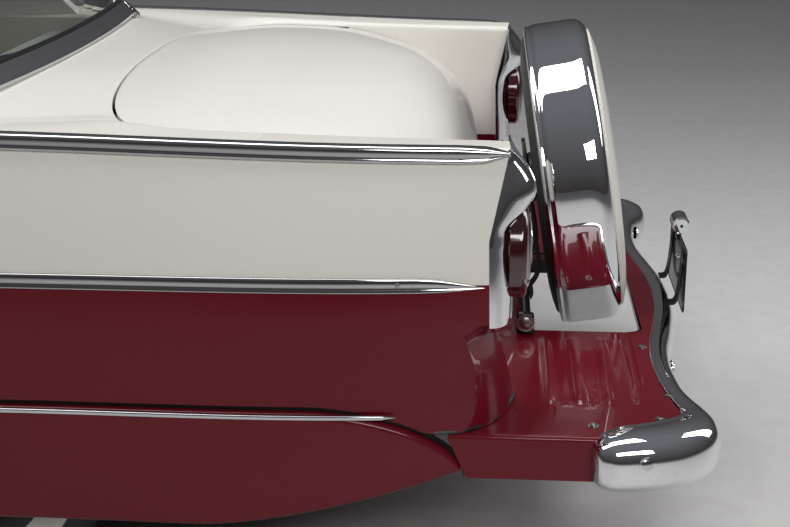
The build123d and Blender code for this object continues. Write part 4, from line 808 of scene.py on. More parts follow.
FRONT_LINE = np.array([
    (0, 0, 0, 0.026, 0.058), (0.006, 0.20, 3, 0.026, 0.058), (0.020, 0.42, 6, 0.026, 0.058),
    (0.038, 0.58, 13, 0.027, 0.058), (0.062, 0.70, 20, 0.028, 0.058), (0.090, 0.78, 32, 0.0295, 0.058),
    (0.128, 0.836, 45, 0.031, 0.058), (0.178, 0.878, 60, 0.032, 0.057), (0.232, 0.905, 72, 0.033, 0.056),
    (0.285, 0.919, 78, 0.029, 0.050), (0.308, 0.9235, 80, 0.019, 0.038), (0.318, 0.925, 80, 0.008, 0.018)])
for line, share in ((REAR_LINE, 0.84), (FRONT_LINE, 0.90)):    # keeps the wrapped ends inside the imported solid's width
    line[:, 1] = np.where(line[:, 1] > 0.80, 0.80 + (line[:, 1] - 0.80) * share, line[:, 1])
BAR_X, BAR_Z, NOSE_BAR_X, NOSE_BAR_Z = -2.582, 0.400, 2.606, 0.420
# Section of a bar: a and b as shares of half depth and half height, the full side first
SECTION = [(1.0, 0.0), (0.97, 0.30), (0.84, 0.60), (0.58, 0.84), (0.20, 0.97), (-0.15, 1.0), (-0.52, 0.985),
           (-0.74, 0.93), (-0.86, 0.955), (-0.97, 0.93), (-1.0, 0.84), (-0.98, 0.45), (-0.98, 0.0)]
SECTION = SECTION + [(a, -b) for a, b in SECTION[-2:0:-1]]


def bumper(line, x, z, turn, count=96):
    """Bar lofted through its stations; the ends swell and close in rounded tips."""
    half = smooth_curve(line, steps(line, count))
    rows = np.concatenate([half[::-1] * (1, 1, 1, 1, 1), half[1:] * (1, -1, -1, 1, 1)])
    ahead, y, heading, depth, height = (rows[:, k, None] for k in range(5))
    angle = np.radians(heading)
    a, b = np.array(SECTION).T[:, None, :]
    px = x + turn * (ahead - np.cos(angle) * a * depth)
    py = y + np.sin(angle) * a * depth
    pz = z + b * height + 0 * px
    px, py, pz = (np.concatenate([np.repeat(p[:1].mean(1, keepdims=True), p.shape[1], 1), p,
                                  np.repeat(p[-1:].mean(1, keepdims=True), p.shape[1], 1)]) for p in (px, py, pz))
    return sheet(px, py, pz, close_columns=True)


APRON_FRONT_X, APRON_HALF = TAIL_X + 0.106, 0.898
HOLE_FRONT_X, HOLE_REAR_X, HOLE_HALF, HOLE_CORNER = -2.240, -2.506, 0.306, 0.034


def apron_edge(y):
    """Front edge of the apron, along the tail panel and then straight out to the fender."""
    inner = TAIL_X + 0.0595 + 0.046 * (y / LID_HALF) ** 2
    return np.where(np.abs(y) < 0.757, inner, APRON_FRONT_X)


def bar_inside(y):
    """Inner edge of the bar at a half width."""
    table = REAR_LINE[:10]
    return BAR_X + np.interp(np.abs(y), table[:, 1], table[:, 0] + table[:, 3] - 0.006)


def apron_height(x, y):
    """Four pressed ribs with round ends on each side of the hole."""
    z = APRON_Z + 0 * x * y
    for rib in (-2.470, -2.410, -2.350, -2.290):
        ends = eased(np.abs(y), 0.345, 0.362) * (1 - eased(np.abs(y), 0.715, 0.745))
        z = z + 0.0045 * np.exp(-((x - rib) / 0.0085) ** 2) * ends
    return z


def apron_top():
    """Left half of the apron round its hole: a band behind it, one ahead of it, one beside it."""
    blocks = []
    y = np.linspace(0, HOLE_HALF, 40)[None, :]
    corner = HOLE_CORNER - np.sqrt(np.maximum(HOLE_CORNER**2 - np.clip(y - (HOLE_HALF - HOLE_CORNER), 0, HOLE_CORNER) ** 2, 0))
    s = np.linspace(0, 1, 10)[:, None]
    rear_edge, front_edge = HOLE_REAR_X + corner, HOLE_FRONT_X - corner
    for low, high in ((bar_inside(y), rear_edge), (front_edge, apron_edge(y))):
        x = low + (high - low) * s
        blocks.append(sheet(x, y, apron_height(x, y)))
    y = np.linspace(HOLE_HALF, 0.757, 44)[None, :]
    s = np.linspace(0, 1, 78)[:, None]
    x = bar_inside(y) + (apron_edge(y) - bar_inside(y)) * s
    blocks.append(sheet(x, y, apron_height(x, y)))
    y = np.linspace(0.757, APRON_HALF - 0.010, 16)[None, :]
    rear = np.maximum(bar_inside(np.minimum(y, 0.78)), BAR_X + 0.03 + 0.9 * np.maximum(y - 0.80, 0))
    x = rear + (APRON_FRONT_X - rear) * s
    blocks.append(sheet(x, y, apron_height(x, y)))
    return [facing(block, (0, 0, 1)) for block in blocks]


def apron_sides():
    """Rounded upper edge, then the side wall down to the bar and along the skirt's opening."""
    x = np.linspace(BAR_X + 0.05, APRON_FRONT_X, 48)[:, None]
    turn = np.linspace(math.pi / 2, 0, 8)[None, :]
    down = np.linspace(0, 1, 14)[None, 1:]
    low = np.where(x > SKIRT_REAR_X, np.minimum(0.370 + (x - SKIRT_REAR_X) * 2.2, APRON_Z - 0.012), APRON_Z - 0.089)
    y = np.concatenate([APRON_HALF - 0.010 + 0.010 * np.cos(turn) + 0 * x, APRON_HALF + 0 * x * down], axis=1)
    z = np.concatenate([APRON_Z - 0.010 + 0.010 * np.sin(turn) + 0 * x, APRON_Z - 0.010 + (low - APRON_Z + 0.010) * down], axis=1)
    hem = sheet(x, np.concatenate([y[:, -1:], y[:, -1:] - 0.012], axis=1), np.concatenate([z[:, -1:], z[:, -1:]], axis=1))
    return [facing(sheet(x, y, z), (0, 1, 0.3)), facing(hem, (0, 0, -1))]


def rear_end():
    parts = apron_top() + apron_sides()
    corner = HOLE_CORNER
    turn = np.linspace(0, math.pi / 2, 10)
    rim = [(HOLE_REAR_X + corner - corner * np.cos(t), HOLE_HALF - corner + corner * np.sin(t)) for t in turn]
    rim += [(HOLE_FRONT_X - corner + corner * np.sin(t), HOLE_HALF - corner + corner * np.cos(t)) for t in turn]
    rim = [(HOLE_REAR_X, 0.0)] + rim + [(HOLE_FRONT_X, 0.0)]
    hem_x, hem_y = np.array(rim).T[..., None]
    hem = sheet(hem_x, hem_y, APRON_Z - np.array([[0.0, 0.004, 0.018]]))
    flat = parts + [hem]
    piece("apron_skin", flat + [mirrored(b) for b in flat], "crimson", stands_for=["splash_apron"],
          thick=0.004)
    heads = [bolt((TAIL_X + dx, y, APRON_Z), (0, 0, 1), 0.0075) for dx, y in
             ((0.035, 0.70), (0.037, 0.55), (0.030, 0.38), (-0.30, 0.80), (-0.33, 0.68), (-0.30, 0.40), (-0.17, 0.84))]
    piece("apron_bolts", heads + [mirrored(b) for b in heads], "steel")
    welt = np.array([(0.132, 0.9015), (0.110, 0.898), (0.080, 0.888), (0.050, 0.866), (0.020, 0.826), (0.000, 0.775),
                     (-0.014, 0.728), (-0.017, 0.700)])
    path = np.concatenate([welt + (TAIL_X, 0), np.full((8, 1), APRON_Z + 0.004)], axis=1)
    bead = rod(path, 0.0055, 8, 60)
    foot = [(TAIL_X + 0.0595 + 0.046 * (y / LID_HALF) ** 2, y, APRON_Z + 0.003) for y in np.linspace(-0.755, 0.755, 50)]
    piece("apron_welt", [bead, mirrored(bead), rod(foot, 0.004, 8)], "seal")
    piece("rear_bar", [bumper(REAR_LINE, BAR_X, BAR_Z, 1)], "chrome", stands_for=["rear_bumper"], closed=True,
          sharp=60)
    heads = []
    for y, heading, out in ((0.42, 2, 0.024), (0.66, -10, 0.028)):
        ahead = np.interp(y, REAR_LINE[:, 1], REAR_LINE[:, 0])
        heads.append(bolt((BAR_X + ahead - out, y, BAR_Z + 0.008), (-1, 0, 0), 0.012, 0.007))
    heads.append(bolt((BAR_X + 0.118, 0.9335, BAR_Z + 0.012), (-0.3, 0.95, 0.1), 0.011, 0.006))
    piece("bar_bolts", heads + [mirrored(b) for b in heads], "bright")


PLATE_X = BAR_X - 0.034


def plate_holder():
    """Black bracket with a flanged plate frame, two struts to the bar, and a hooded lamp above."""
    back = pad((PLATE_X - 0.0028, -0.152, 0.446), (PLATE_X, 0.152, 0.592), 0.08, 16)
    rim = [(PLATE_X - 0.0015, y, z) for y, z in
           [(-0.150, 0.450), (-0.150, 0.588), (-0.144, 0.594), (0.144, 0.594), (0.150, 0.588), (0.150, 0.450),
            (0.144, 0.444), (-0.144, 0.444)]]
    frame_rim = swept(rim, circle(0.0026, 8), up=(1, 0, 0), ring=True)
    struts = []
    for y in (0.098, 0.112):
        path = smooth_curve([(PLATE_X + 0.001, y, 0.585), (PLATE_X + 0.004, y, 0.52), (PLATE_X + 0.012, y, 0.462),
                             (PLATE_X + 0.030, y, 0.4535)], np.linspace(0, 3, 24))
        struts.append(swept(path, [(-0.012, -0.0018), (0.012, -0.0018), (0.012, 0.0018), (-0.012, 0.0018)], (1, 0, 0.2)))
    neck = pad((PLATE_X - 0.004, -0.017, 0.582), (PLATE_X + 0.006, 0.017, 0.622), 0.25, 10)
    ear = pad((-2.266, HOLE_HALF + 0.012, APRON_Z), (-2.226, HOLE_HALF + 0.032, 0.496), 0.3, 12)
    iron = pad((BAR_X + 0.045, 0.390, 0.363), (TAIL_X + 0.010, 0.450, 0.438), 0.12, 12)
    left = struts + [ear, iron]
    parts = [back, frame_rim, neck, rod([(-2.246, -0.346, 0.478), (-2.246, 0.346, 0.478)], 0.013, 16)]
    pad_x = NOSE_BAR_X + 0.0275
    parts.append(pad((pad_x, -0.152, 0.345), (pad_x + 0.003, 0.152, 0.495), 0.08, 16))
    nuts = [bolt((-2.246, HOLE_HALF + 0.040, 0.478), (0, 1, 0), 0.014, 0.009),
            bolt((PLATE_X + 0.0005, 0.118, 0.560), (1, 0, 0), 0.006, 0.004)]
    piece("plate_bracket", parts + left + [mirrored(b) for b in left], "black",
          stands_for=["bumper_brackets"], closed=True)
    piece("bracket_nuts", nuts + [mirrored(b) for b in nuts], "steel")
    hood = []
    turn = np.linspace(0, 2 * math.pi, 40, endpoint=False)[:, None]
    profile = np.array([(0.004, -0.036), (0.017, -0.036), (0.0215, -0.032), (0.0218, 0.0), (0.0215, 0.032),
                        (0.017, 0.036), (0.004, 0.036)])
    radius = profile[None, :, 0] * (1 - 0.20 * np.exp(-((turn - math.pi) / 0.5) ** 2))
    hood.append(sheet(PLATE_X - 0.002 + radius * np.cos(turn), profile[None, :, 1] + 0 * turn,
                      0.622 + radius * np.sin(turn), close_rows=True))
    piece("plate_lamp", hood, "chrome", closed=True)


# Spare wheel under its bright cover

SPARE_X, SPARE_Z, LEAN = -2.357, 0.744, math.radians(9.0)


def leaned(block):
    """A block made about the spare's middle, axle along X, leaned forwards about Y."""
    (x, y, z), faces = block[0].T, block[1]
    return np.stack([SPARE_X + x * math.cos(LEAN) + z * math.sin(LEAN), y,
                     SPARE_Z - x * math.sin(LEAN) + z * math.cos(LEAN)], axis=1), faces


def tread_dents(turns, depth, start, end):
    """Slanted cross grooves and two running grooves, cut only where the radius is near the tread."""
    def dents(turn, radius, offset):
        near = eased(radius, start, end)
        slant = np.abs(((turn / (2 * math.pi) * turns + 9 * offset * np.sign(offset)) % 1) - 0.5)
        cross = 1 - eased(slant, 0.10, 0.17)
        run = sum(np.exp(-((offset - place) / 0.0035) ** 2) for place in (-0.027, 0.0, 0.027))
        return -depth * near * np.clip(np.maximum(cross * (np.abs(offset) > 0.008), run), 0, 1)
    return dents


def tyre_profile(radius, rim, half, lip):
    """Tyre from bead to bead: rounded sidewall, shoulder, nearly flat tread; radius and offset."""
    side = [(rim - 0.002, lip), (rim + 0.004, lip + 0.006), (rim + 0.016, lip + 0.012), (rim + 0.038, half - 0.0025),
            (rim + 0.062, half), (rim + 0.086, half - 0.002), (radius - 0.036, half - 0.008), (radius - 0.022, half - 0.0155),
            (radius - 0.010, half - 0.0245), (radius - 0.0035, half - 0.034), (radius - 0.0008, half - 0.044)]
    points = side + [(radius, 0.0)] + [(r, -a) for r, a in side[::-1]]
    return smooth_curve(points, np.concatenate([np.linspace(0, 10, 12), np.linspace(10, 12, 17)[1:-1], np.linspace(12, 22, 12)]))


def spare():
    tyre = lathe(tyre_profile(0.3538, 0.1905, 0.082, 0.0635), (0.010, 0, 0), axis=0, count=240,
                 dents=tread_dents(60, 0.006, 0.335, 0.345))
    piece("spare_tyre_rubber", [leaned(tyre)], "rubber", "spare", ["spare_tyre"], closed=True, sharp=50)
    band = [(0.3445, 0.0705), (0.3475, 0.0725), (0.3525, 0.0715), (0.3558, 0.0675), (0.3545, 0.0625), (0.3555, 0.0585),
            (0.3582, 0.050), (0.3585, 0.030), (0.3585, 0.000), (0.3585, -0.025), (0.3580, -0.038), (0.3560, -0.049),
            (0.3510, -0.0595), (0.3430, -0.067), (0.3340, -0.0708), (0.3245, -0.072)]
    band = smooth_curve(band, steps(band, 52))
    inner = band[::-1] - (0.0035, 0) + (0, 0.0015)
    cover = lathe(np.concatenate([band, inner]), (0, 0, 0), axis=0, count=180)
    points, _ = cover
    count = len(band) + len(inner)
    cover = points, quads(180, count, True, True)
    piece("spare_band", [leaned(cover)], "chrome", "spare", ["spare_cover"], closed=True, sharp=50)
    face = [(0.3250, -0.0712), (0.3300, -0.0735), (0.3285, -0.0765), (0.3180, -0.0795), (0.3000, -0.0850),
            (0.2800, -0.0890), (0.2400, -0.0930), (0.2000, -0.0955), (0.1500, -0.0975), (0.0800, -0.0980), (0.0, -0.0980)]
    face = smooth_curve(face, steps(face, 48))
    face = face[np.append(np.diff(face[:, 0]) != 0, True)]
    inner = face[::-1] + (0.0, 0.003)
    whole = lathe(np.concatenate([face, inner]), (0, 0, 0), axis=0, count=128)
    piece("spare_face", [leaned(whole)], "ivory", "spare", closed=True, sharp=50)
    disc = [(0.190, 0.0735), (0.197, 0.0735), (0.197, 0.068), (0.1905, 0.064), (0.184, 0.045), (0.172, 0.040),
            (0.160, 0.050), (0.140, 0.062), (0.105, 0.0665), (0.085, 0.064), (0.062, 0.070), (0.040, 0.070)]
    disc = smooth_curve(disc, steps(disc, 32))
    back = disc[::-1] - (0, 0.006)
    wheel = lathe(np.concatenate([disc, back]), (0.0, 0, 0), axis=0, count=96)
    wheel = wheel[0], quads(96, len(disc) * 2, True, True)
    rim = [(0.1905, 0.0735), (0.197, 0.0735), (0.1985, 0.069), (0.189, 0.055), (0.180, 0.02), (0.180, -0.02),
           (0.189, -0.042), (0.1985, -0.052), (0.196, -0.0535), (0.188, -0.049), (0.176, -0.03), (0.176, 0.03)]
    hoop = lathe(smooth_curve(rim, steps(rim, 24)), (0.0, 0, 0), axis=0, count=96)
    hoop = hoop[0], quads(96, 24, True, True)
    piece("spare_disc", [leaned(wheel), leaned(hoop)], "crimson", "spare", closed=True)
    hub = lathe([(0, 0.066), (0.058, 0.066), (0.060, 0.069), (0.060, 0.100), (0.056, 0.104), (0.030, 0.106), (0.028, 0.118),
                 (0.0, 0.119)], (0, 0, 0), axis=0, count=48)
    arms = []
    for side in (1, -1):
        path = np.array([(0.110, 0.070), (0.110, -0.06), (0.110, -0.19)])
        world = [(SPARE_X + a * math.cos(LEAN) + c * math.sin(LEAN), side * 0.120,
                  SPARE_Z - a * math.sin(LEAN) + c * math.cos(LEAN)) for a, c in path] + [(-2.2465, side * 0.120, 0.478)]
        world = smooth_curve(world, steps(world, 40))
        arms.append(swept(world, [(-0.010, -0.0045), (0.010, -0.0045), (0.010, 0.0045), (-0.010, 0.0045)], (1, 0, 0)))
        barrel = [(0.0133, -0.016), (0.021, -0.016), (0.022, -0.013), (0.022, 0.013), (0.021, 0.016), (0.0133, 0.016)]
        ring = lathe(barrel, (-2.246, side * 0.120, 0.478), axis=1, count=40)
        arms.append((ring[0], quads(40, 6, True, True)))
    plate = pad((0.1045, -0.120, -0.068), (0.1135, 0.120, 0.068), 0.14, 14)
    piece("spare_arms", arms + [leaned(plate), leaned(hub)], "chassis", "spare", ["spare_carrier"],
          closed=True)
    nuts = [leaned(bolt((0.1135, 0.045 * math.cos(a), 0.045 * math.sin(a)), (1, 0, 0), 0.009, 0.008))
            for a in np.linspace(0, 2 * math.pi, 5, endpoint=False)]
    piece("spare_nuts", nuts, "steel", "spare")


rear_end()
plate_holder()
spare()


# Front fenders, doors, rockers, bright strips along the side

ARCH_REAR, ARCH_FRONT = FRONT_AXLE_X - ARCH_R, FRONT_AXLE_X + ARCH_R
LAMP_Y, LAMP_Z, LAMP_R = 0.735, 0.765, 0.089


def arch_low(x):
    """Lower edge of the front fender: sill line, wheel arch, then the line over the bumper."""
    reach = np.sqrt(np.clip(ARCH_R**2 - (x - FRONT_AXLE_X) ** 2, 0, None))
    nose = np.where(x > 2.300, 0.487, 0.400)
    return np.where(np.abs(x - FRONT_AXLE_X) < ARCH_R, AXLE_Z + reach, np.where(x < FRONT_AXLE_X, ROCKER_TOP, nose))


def fender_side():
    """Outer face of the front fender, its front end rolled inwards round the nose."""
    start, end = DOOR_FRONT_X + DOOR_GAP / 2, NOSE_X
    turn = np.linspace(0.001, math.pi - 0.118, 50)
    x = np.concatenate([np.linspace(start, ARCH_REAR, 14), FRONT_AXLE_X - ARCH_R * np.cos(turn),
                        [2.2445, 2.2995, 2.3005], np.linspace(2.310, end, 18)])
    x, y, z = side_panel((x - start) / (end - start), lambda h: start + 0 * h, lambda h: end + 0 * h, arch_low)
    share = np.clip((x - (end - 0.075)) / 0.075, 0, 1)
    y = y - 0.050 * (1 - np.sqrt(1 - share**2 * 0.9999))
    return facing(sheet(x, y, z), (0, 1, 0))


def fender_nose():
    """Front face round the headlamp: rings from the lamp's hole out to the fender's rolled edge."""
    turn = np.linspace(0, 2 * math.pi, 97)[:-1, None]
    reach = np.linspace(0, 1, 12)[None, :]
    half_y, low, high = 0.110, 0.487 - LAMP_Z, 0.926 - LAMP_Z
    side, rise = np.cos(turn), np.sin(turn)
    limit = np.where(rise > 0, high, -low)
    out_y = np.where(side > 0, side_y(NOSE_X + 0 * turn, LAMP_Z + rise * limit) - 0.050 - LAMP_Y, 0.036)
    far = 1 / np.maximum(np.abs(side) / out_y, np.abs(rise) / limit)
    radius = LAMP_R + 0.012 + (far - LAMP_R - 0.012) * reach
    z = LAMP_Z + radius * rise
    y = np.minimum(LAMP_Y + radius * side, side_y(NOSE_X + 0 * z, z) - 0.050)
    return facing(sheet(NOSE_X - 0.001 + 0 * y, y, z, close_rows=True), (1, 0, 0))


def front_fenders():
    turn = np.linspace(0, math.pi - 0.118, 80)[:, None]
    x, z = FRONT_AXLE_X - ARCH_R * np.cos(turn), AXLE_Z + ARCH_R * np.sin(turn)
    inward = np.array([[0.0, 0.004, 0.012, 0.022]])
    lip = facing(sheet(x + 0 * inward, side_y(x, z) - inward, z + 0.0035 * np.sin(inward / 0.022 * math.pi)),
                 (0, 0, -1))
    skins = [fender_side(), lip, fender_nose()]
    piece("front_fender_skin", skins + [mirrored(b) for b in skins], "side",
          stands_for=["front_fenders"], thick=0.004)
    hood_ring = [(0.0895, -0.004), (0.0930, 0.030), (0.0960, 0.042), (0.1010, 0.044), (0.1080, 0.038), (0.1150, 0.024),
                 (0.1180, 0.010), (0.1190, 0.0), (0.1150, -0.003)]
    ring = smooth_curve(hood_ring, steps(hood_ring, 40))
    turn = np.linspace(0, 2 * math.pi, 96, endpoint=False)[:, None]
    out = np.maximum(ring[None, :, 1], 0) * (0.78 + 0.22 * np.sin(turn)) + np.minimum(ring[None, :, 1], 0)
    bezel = sheet(NOSE_X + out, LAMP_Y + ring[None, :, 0] * np.cos(turn), LAMP_Z + ring[None, :, 0] * np.sin(turn),
                  close_rows=True)
    bezel = bezel[0], quads(96, 40, True, True)
    bowl_table = [(0.0890, 0.004), (0.0840, -0.012), (0.0700, -0.030), (0.0450, -0.045), (0.0200, -0.050), (0, -0.051)]
    bowl = facing(lathe(smooth_curve(bowl_table, steps(bowl_table, 18)), (NOSE_X, LAMP_Y, LAMP_Z), 0, 1, 48), (1, 0, 0))
    piece("headlamp_bezels", [bezel, mirrored(bezel)], "chrome", closed=True)
    piece("headlamp_bowls", [bowl, mirrored(bowl)], "bright", thick=0.002)
    glass = [(0.0, 0.033), (0.030, 0.0315), (0.055, 0.027), (0.075, 0.0195), (0.0865, 0.0105), (0.0882, 0.004),
             (0.0865, 0.0085), (0.0745, 0.0170), (0.055, 0.0240), (0.030, 0.0285), (0.0, 0.030)]
    lens = lathe(smooth_curve(glass, steps(glass, 30)), (NOSE_X, LAMP_Y, LAMP_Z), 0, 1, 64)
    piece("headlamp_glass", [lens, mirrored(lens)], "lamp_glass", stands_for=["headlamp_lenses"],
          closed=True)


DOOR_INNER_Y = 0.848


def door_blocks():
    """Left door: outer skin with its shoulder, rolled edges, and a flat inner panel closing the back."""
    start, end = DOOR_REAR_X + DOOR_GAP / 2, DOOR_FRONT_X - DOOR_GAP / 2
    u = np.concatenate([np.linspace(0, 0.02, 8), np.linspace(0.02, 0.98, 60)[1:-1], np.linspace(0.98, 1, 8)])
    x, y, z = side_panel(u, lambda h: start + 0 * h, lambda h: end + 0 * h, lambda x: ROCKER_TOP + PANEL_GAP + 0 * x)
    edge = np.minimum(np.minimum(x - start, end - x), np.minimum(z - z[:, -1:], 0.010)) / 0.005
    y = y - 0.005 * (1 - np.sqrt(1 - (1 - np.clip(edge, 0, 1)) ** 2)) * (z < through(x, BELT_Z) - SHOULDER)
    borders = []
    for cut in (np.s_[0, :], np.s_[-1, :], np.s_[:, -1]):
        line = np.stack([x[cut], y[cut], z[cut]], axis=-1)
        inner = line.copy()
        inner[:, 1] = DOOR_INNER_Y + 0.001
        inner[:, 2] = np.minimum(inner[:, 2], through(inner[:, 0], BELT_Z) - 0.010)
        s = np.linspace(0, 1, 4)[None, :, None]
        strip = line[:, None] * (1 - s) + inner[:, None] * s
        borders.append(sheet(strip[..., 0], strip[..., 1], strip[..., 2]))
    top_x = x[:, :1]
    step = np.linspace(0, 1, 5)[None, :]
    cap_y = y[:, :1] + (DOOR_INNER_Y + 0.001 - y[:, :1]) * step
    cap = sheet(top_x, cap_y, z[:, :1] - 0.010 * eased(step, 0, 1))
    inner_z = np.linspace(0, 1, 24)[None, :]
    low_z, high_z = ROCKER_TOP + PANEL_GAP, through(top_x, BELT_Z) - 0.010
    back = sheet(top_x, DOOR_INNER_Y + 0.001, low_z + (high_z - low_z) * inner_z)
    return sheet(x, y, z), borders, cap, back


def doors():
    outer, borders, cap, back = door_blocks()
    outer, cap, back = facing(outer, (0, 1, 0)), facing(cap, (0, 0, 1)), facing(back, (0, -1, 0))
    for name, flip in (("left", False), ("right", True)):
        blocks = [outer, cap, back] + borders
        blocks = [mirrored(b) for b in blocks] if flip else blocks
        body = f"door_{name}"
        piece(f"door_skin_{name}", blocks, "side", body, [body], closed=True)
        hand = (lambda b: mirrored(b)) if flip else (lambda b: b)
        start, end = DOOR_REAR_X + 0.030, DOOR_FRONT_X - 0.035
        trim = pad((start, DOOR_INNER_Y - 0.012, 0.400), (end, DOOR_INNER_Y + 0.004, 0.930), 0.08, 24)
        card = piece(f"door_card_{name}", [hand(trim)], "vinyl", body, closed=True)
        rest = pad((0.060, DOOR_INNER_Y - 0.066, 0.655), (0.560, DOOR_INNER_Y - 0.004, 0.705), 0.35, 16)
        arm = piece(f"arm_rest_{name}", [hand(rest)], "leather_red", body, closed=True)
        strips = [rod([(start + 0.02, DOOR_INNER_Y - 0.0135, z), (end - 0.02, DOOR_INNER_Y - 0.0135, z)], 0.0035, 8)
                  for z in (0.560, 0.600, 0.790)]
        handle = rod([(-0.155, 0.9430, 0.905), (-0.150, 0.9600, 0.905), (-0.120, 0.9640, 0.906), (-0.030, 0.9640, 0.908),
                      (0.000, 0.9600, 0.909), (0.004, 0.9430, 0.909)], 0.0085, 12, 40)
        knob = lathe([(0, 0.030), (0.010, 0.029), (0.014, 0.025), (0.014, 0.020), (0.010, 0.018), (0.012, 0.0)],
                     (0.040, 0.9195, 0.906), 1, 1, 32)
        inner_handle = rod([(0.150, 0.845, 0.745), (0.150, 0.822, 0.745), (0.165, 0.815, 0.745), (0.260, 0.815, 0.735)],
                           0.006, 10, 30)
        winder = rod([(0.400, 0.845, 0.760), (0.400, 0.820, 0.760), (0.395, 0.814, 0.750), (0.360, 0.814, 0.690),
                      (0.356, 0.808, 0.682), (0.354, 0.790, 0.680)], 0.006, 10, 40)
        outer_y = side_y(np.array(-0.15), np.array(0.905))
        shift = float(outer_y) - 0.944
        handle = handle[0] + (0, shift, 0), handle[1]
        knob = knob[0] + (0, shift, 0), knob[1]
        glint = strips + [handle, knob, inner_handle, winder]
        piece(f"door_hardware_{name}", [hand(b) for b in glint], "chrome", body, closed=True)


def rockers():
    x = np.linspace(SKIRT_FRONT_X, ARCH_REAR, 50)[:, None]
    down = np.linspace(0, 1, 14)[None, :]
    z = ROCKER_TOP - 0.001 + (SILL_Z - ROCKER_TOP + 0.001) * down
    face = facing(sheet(x, side_y(x, z) - 0.012 * eased(z, SILL_Z + 0.02, SILL_Z), z), (0, 1, 0))
    across = np.linspace(0, 1, 4)[None, :]
    top = facing(sheet(x, side_y(x, ROCKER_TOP + 0 * x) * (1 - across) + 0.800 * across, ROCKER_TOP - 0.001), (0, 0, 1))
    low = facing(sheet(x, (side_y(x, SILL_Z + 0 * x) - 0.012) * (1 - across) + 0.800 * across, SILL_Z), (0, 0, -1))
    z_line = np.linspace(SILL_Z, ROCKER_TOP - 0.001, 6)[None, :]
    inner = facing(sheet(x, 0.800, z_line), (0, -1, 0))
    blocks = [face, top, low, inner]
    piece("rocker_skins", blocks + [mirrored(b) for b in blocks], "crimson", stands_for=["rocker_panels"],
          closed=True)


def belt_strip(x0, x1, body, name, slim=False):
    """Bright belt moulding: a rounded cap over the shoulder with a lip below, pointed at the tail when it starts there."""
    x = np.linspace(x0, x1, 46)[:, None]
    outline = np.array([(-0.0225, 0.0016), (-0.019, 0.0042), (-0.010, 0.0056), (-0.004, 0.0052), (0.002, 0.0036),
                        (0.0062, 0.0004), (0.0078, -0.004), (0.0080, -0.010), (0.0076, -0.017), (0.0088, -0.020),
                        (0.0088, -0.0235), (0.0066, -0.0262), (0.0030, -0.0268)])
    outline = smooth_curve(outline, steps(outline, 26))
    point = np.sqrt(np.clip((x - x0 + 0.001) / 0.060, 0, 1)) if name == "rear" else 1 + 0 * x
    top, half = through(x, BELT_Z), through(x, BELT_Y)
    y = half + outline[None, :, 0]
    z = top + outline[None, :, 1] * point + (0 if name != "rear" else -0.006 * (1 - point))
    inner_y = half - 0.0225 + 0 * outline[None, :, 0]
    return facing(sheet(x, y, z), (0, 0.3, 1))


def side_strip(x0, x1, tip=0.0):
    """Side moulding: a bright bead above a flat below a crease, its rear end drawn to a point."""
    x = np.linspace(x0, x1, 46)[:, None]
    rows = np.array([(0.0145, 0.0), (0.0140, 0.0040), (0.0105, 0.0056), (0.0050, 0.0060), (-0.0005, 0.0054), (-0.0020, 0.0038),
                     (-0.0042, 0.0036), (-0.0105, 0.0052), (-0.0135, 0.0044), (-0.0145, 0.0)])
    rows = smooth_curve(rows, steps(rows, 22))
    point = np.clip((x - x0) / tip, 0.02, 1) ** 0.8 if tip else 1 + 0 * x
    z = 0.7425 + rows[None, :, 0] * point - 0.006 * (1 - point)
    return facing(sheet(x, side_y(x, z) + rows[None, :, 1] * np.minimum(1, point * 1.6) + 0.0003, z), (0, 1, 0))


def bright_strips():
    rear = TAIL_X + 0.002
    runs = {"rear": (rear, DOOR_REAR_X - DOOR_GAP / 2, "root"), "front": (DOOR_FRONT_X + DOOR_GAP / 2, NOSE_X - 0.06, "root")}
    belts, sides = [], []
    for name, (x0, x1, _) in runs.items():
        belts.append(belt_strip(x0, x1, "root", name))
        sides.append(side_strip(x0 + (0.040 if name == "rear" else 0), x1, 0.10 if name == "rear" else 0))
    both_sides = belts + sides
    piece("body_strips", both_sides + [mirrored(b) for b in both_sides], "trim", stands_for=["body_trim"],
          thick=0.0015)
    x0, x1 = DOOR_REAR_X + DOOR_GAP / 2, DOOR_FRONT_X - DOOR_GAP / 2
    door = [belt_strip(x0, x1, "door_left", "door"), side_strip(x0, x1)]
    piece("door_strips_left", door, "trim", "door_left", thick=0.0015)
    piece("door_strips_right", [mirrored(b) for b in door], "trim", "door_right", thick=0.0015)
    caps = []
    for x in (-2.000, -1.1):
        caps.append(bolt((x, float(side_y(np.array(x), np.array(0.7445))) + 0.0055, 0.7445), (0, 1, 0), 0.0035, 0.002))
    piece("strip_plugs", caps + [mirrored(b) for b in caps], "steel")


front_fenders()
doors()
rockers()
bright_strips()


# Roof, pillars, screens

ROOF = np.array([(-0.790, 0.598, 1.408, 1.446), (-0.450, 0.622, 1.426, 1.490), (-0.050, 0.636, 1.432, 1.503),
                 (0.350, 0.628, 1.424, 1.486), (0.690, 0.600, 1.408, 1.440)])
GLASS_LOW, GLASS_HIGH = 0.985, 1.432


def roof_at(x, column):
    t = np.interp(x, ROOF[:, 0], np.arange(len(ROOF)))
    return smooth_curve(ROOF, t)[..., column]


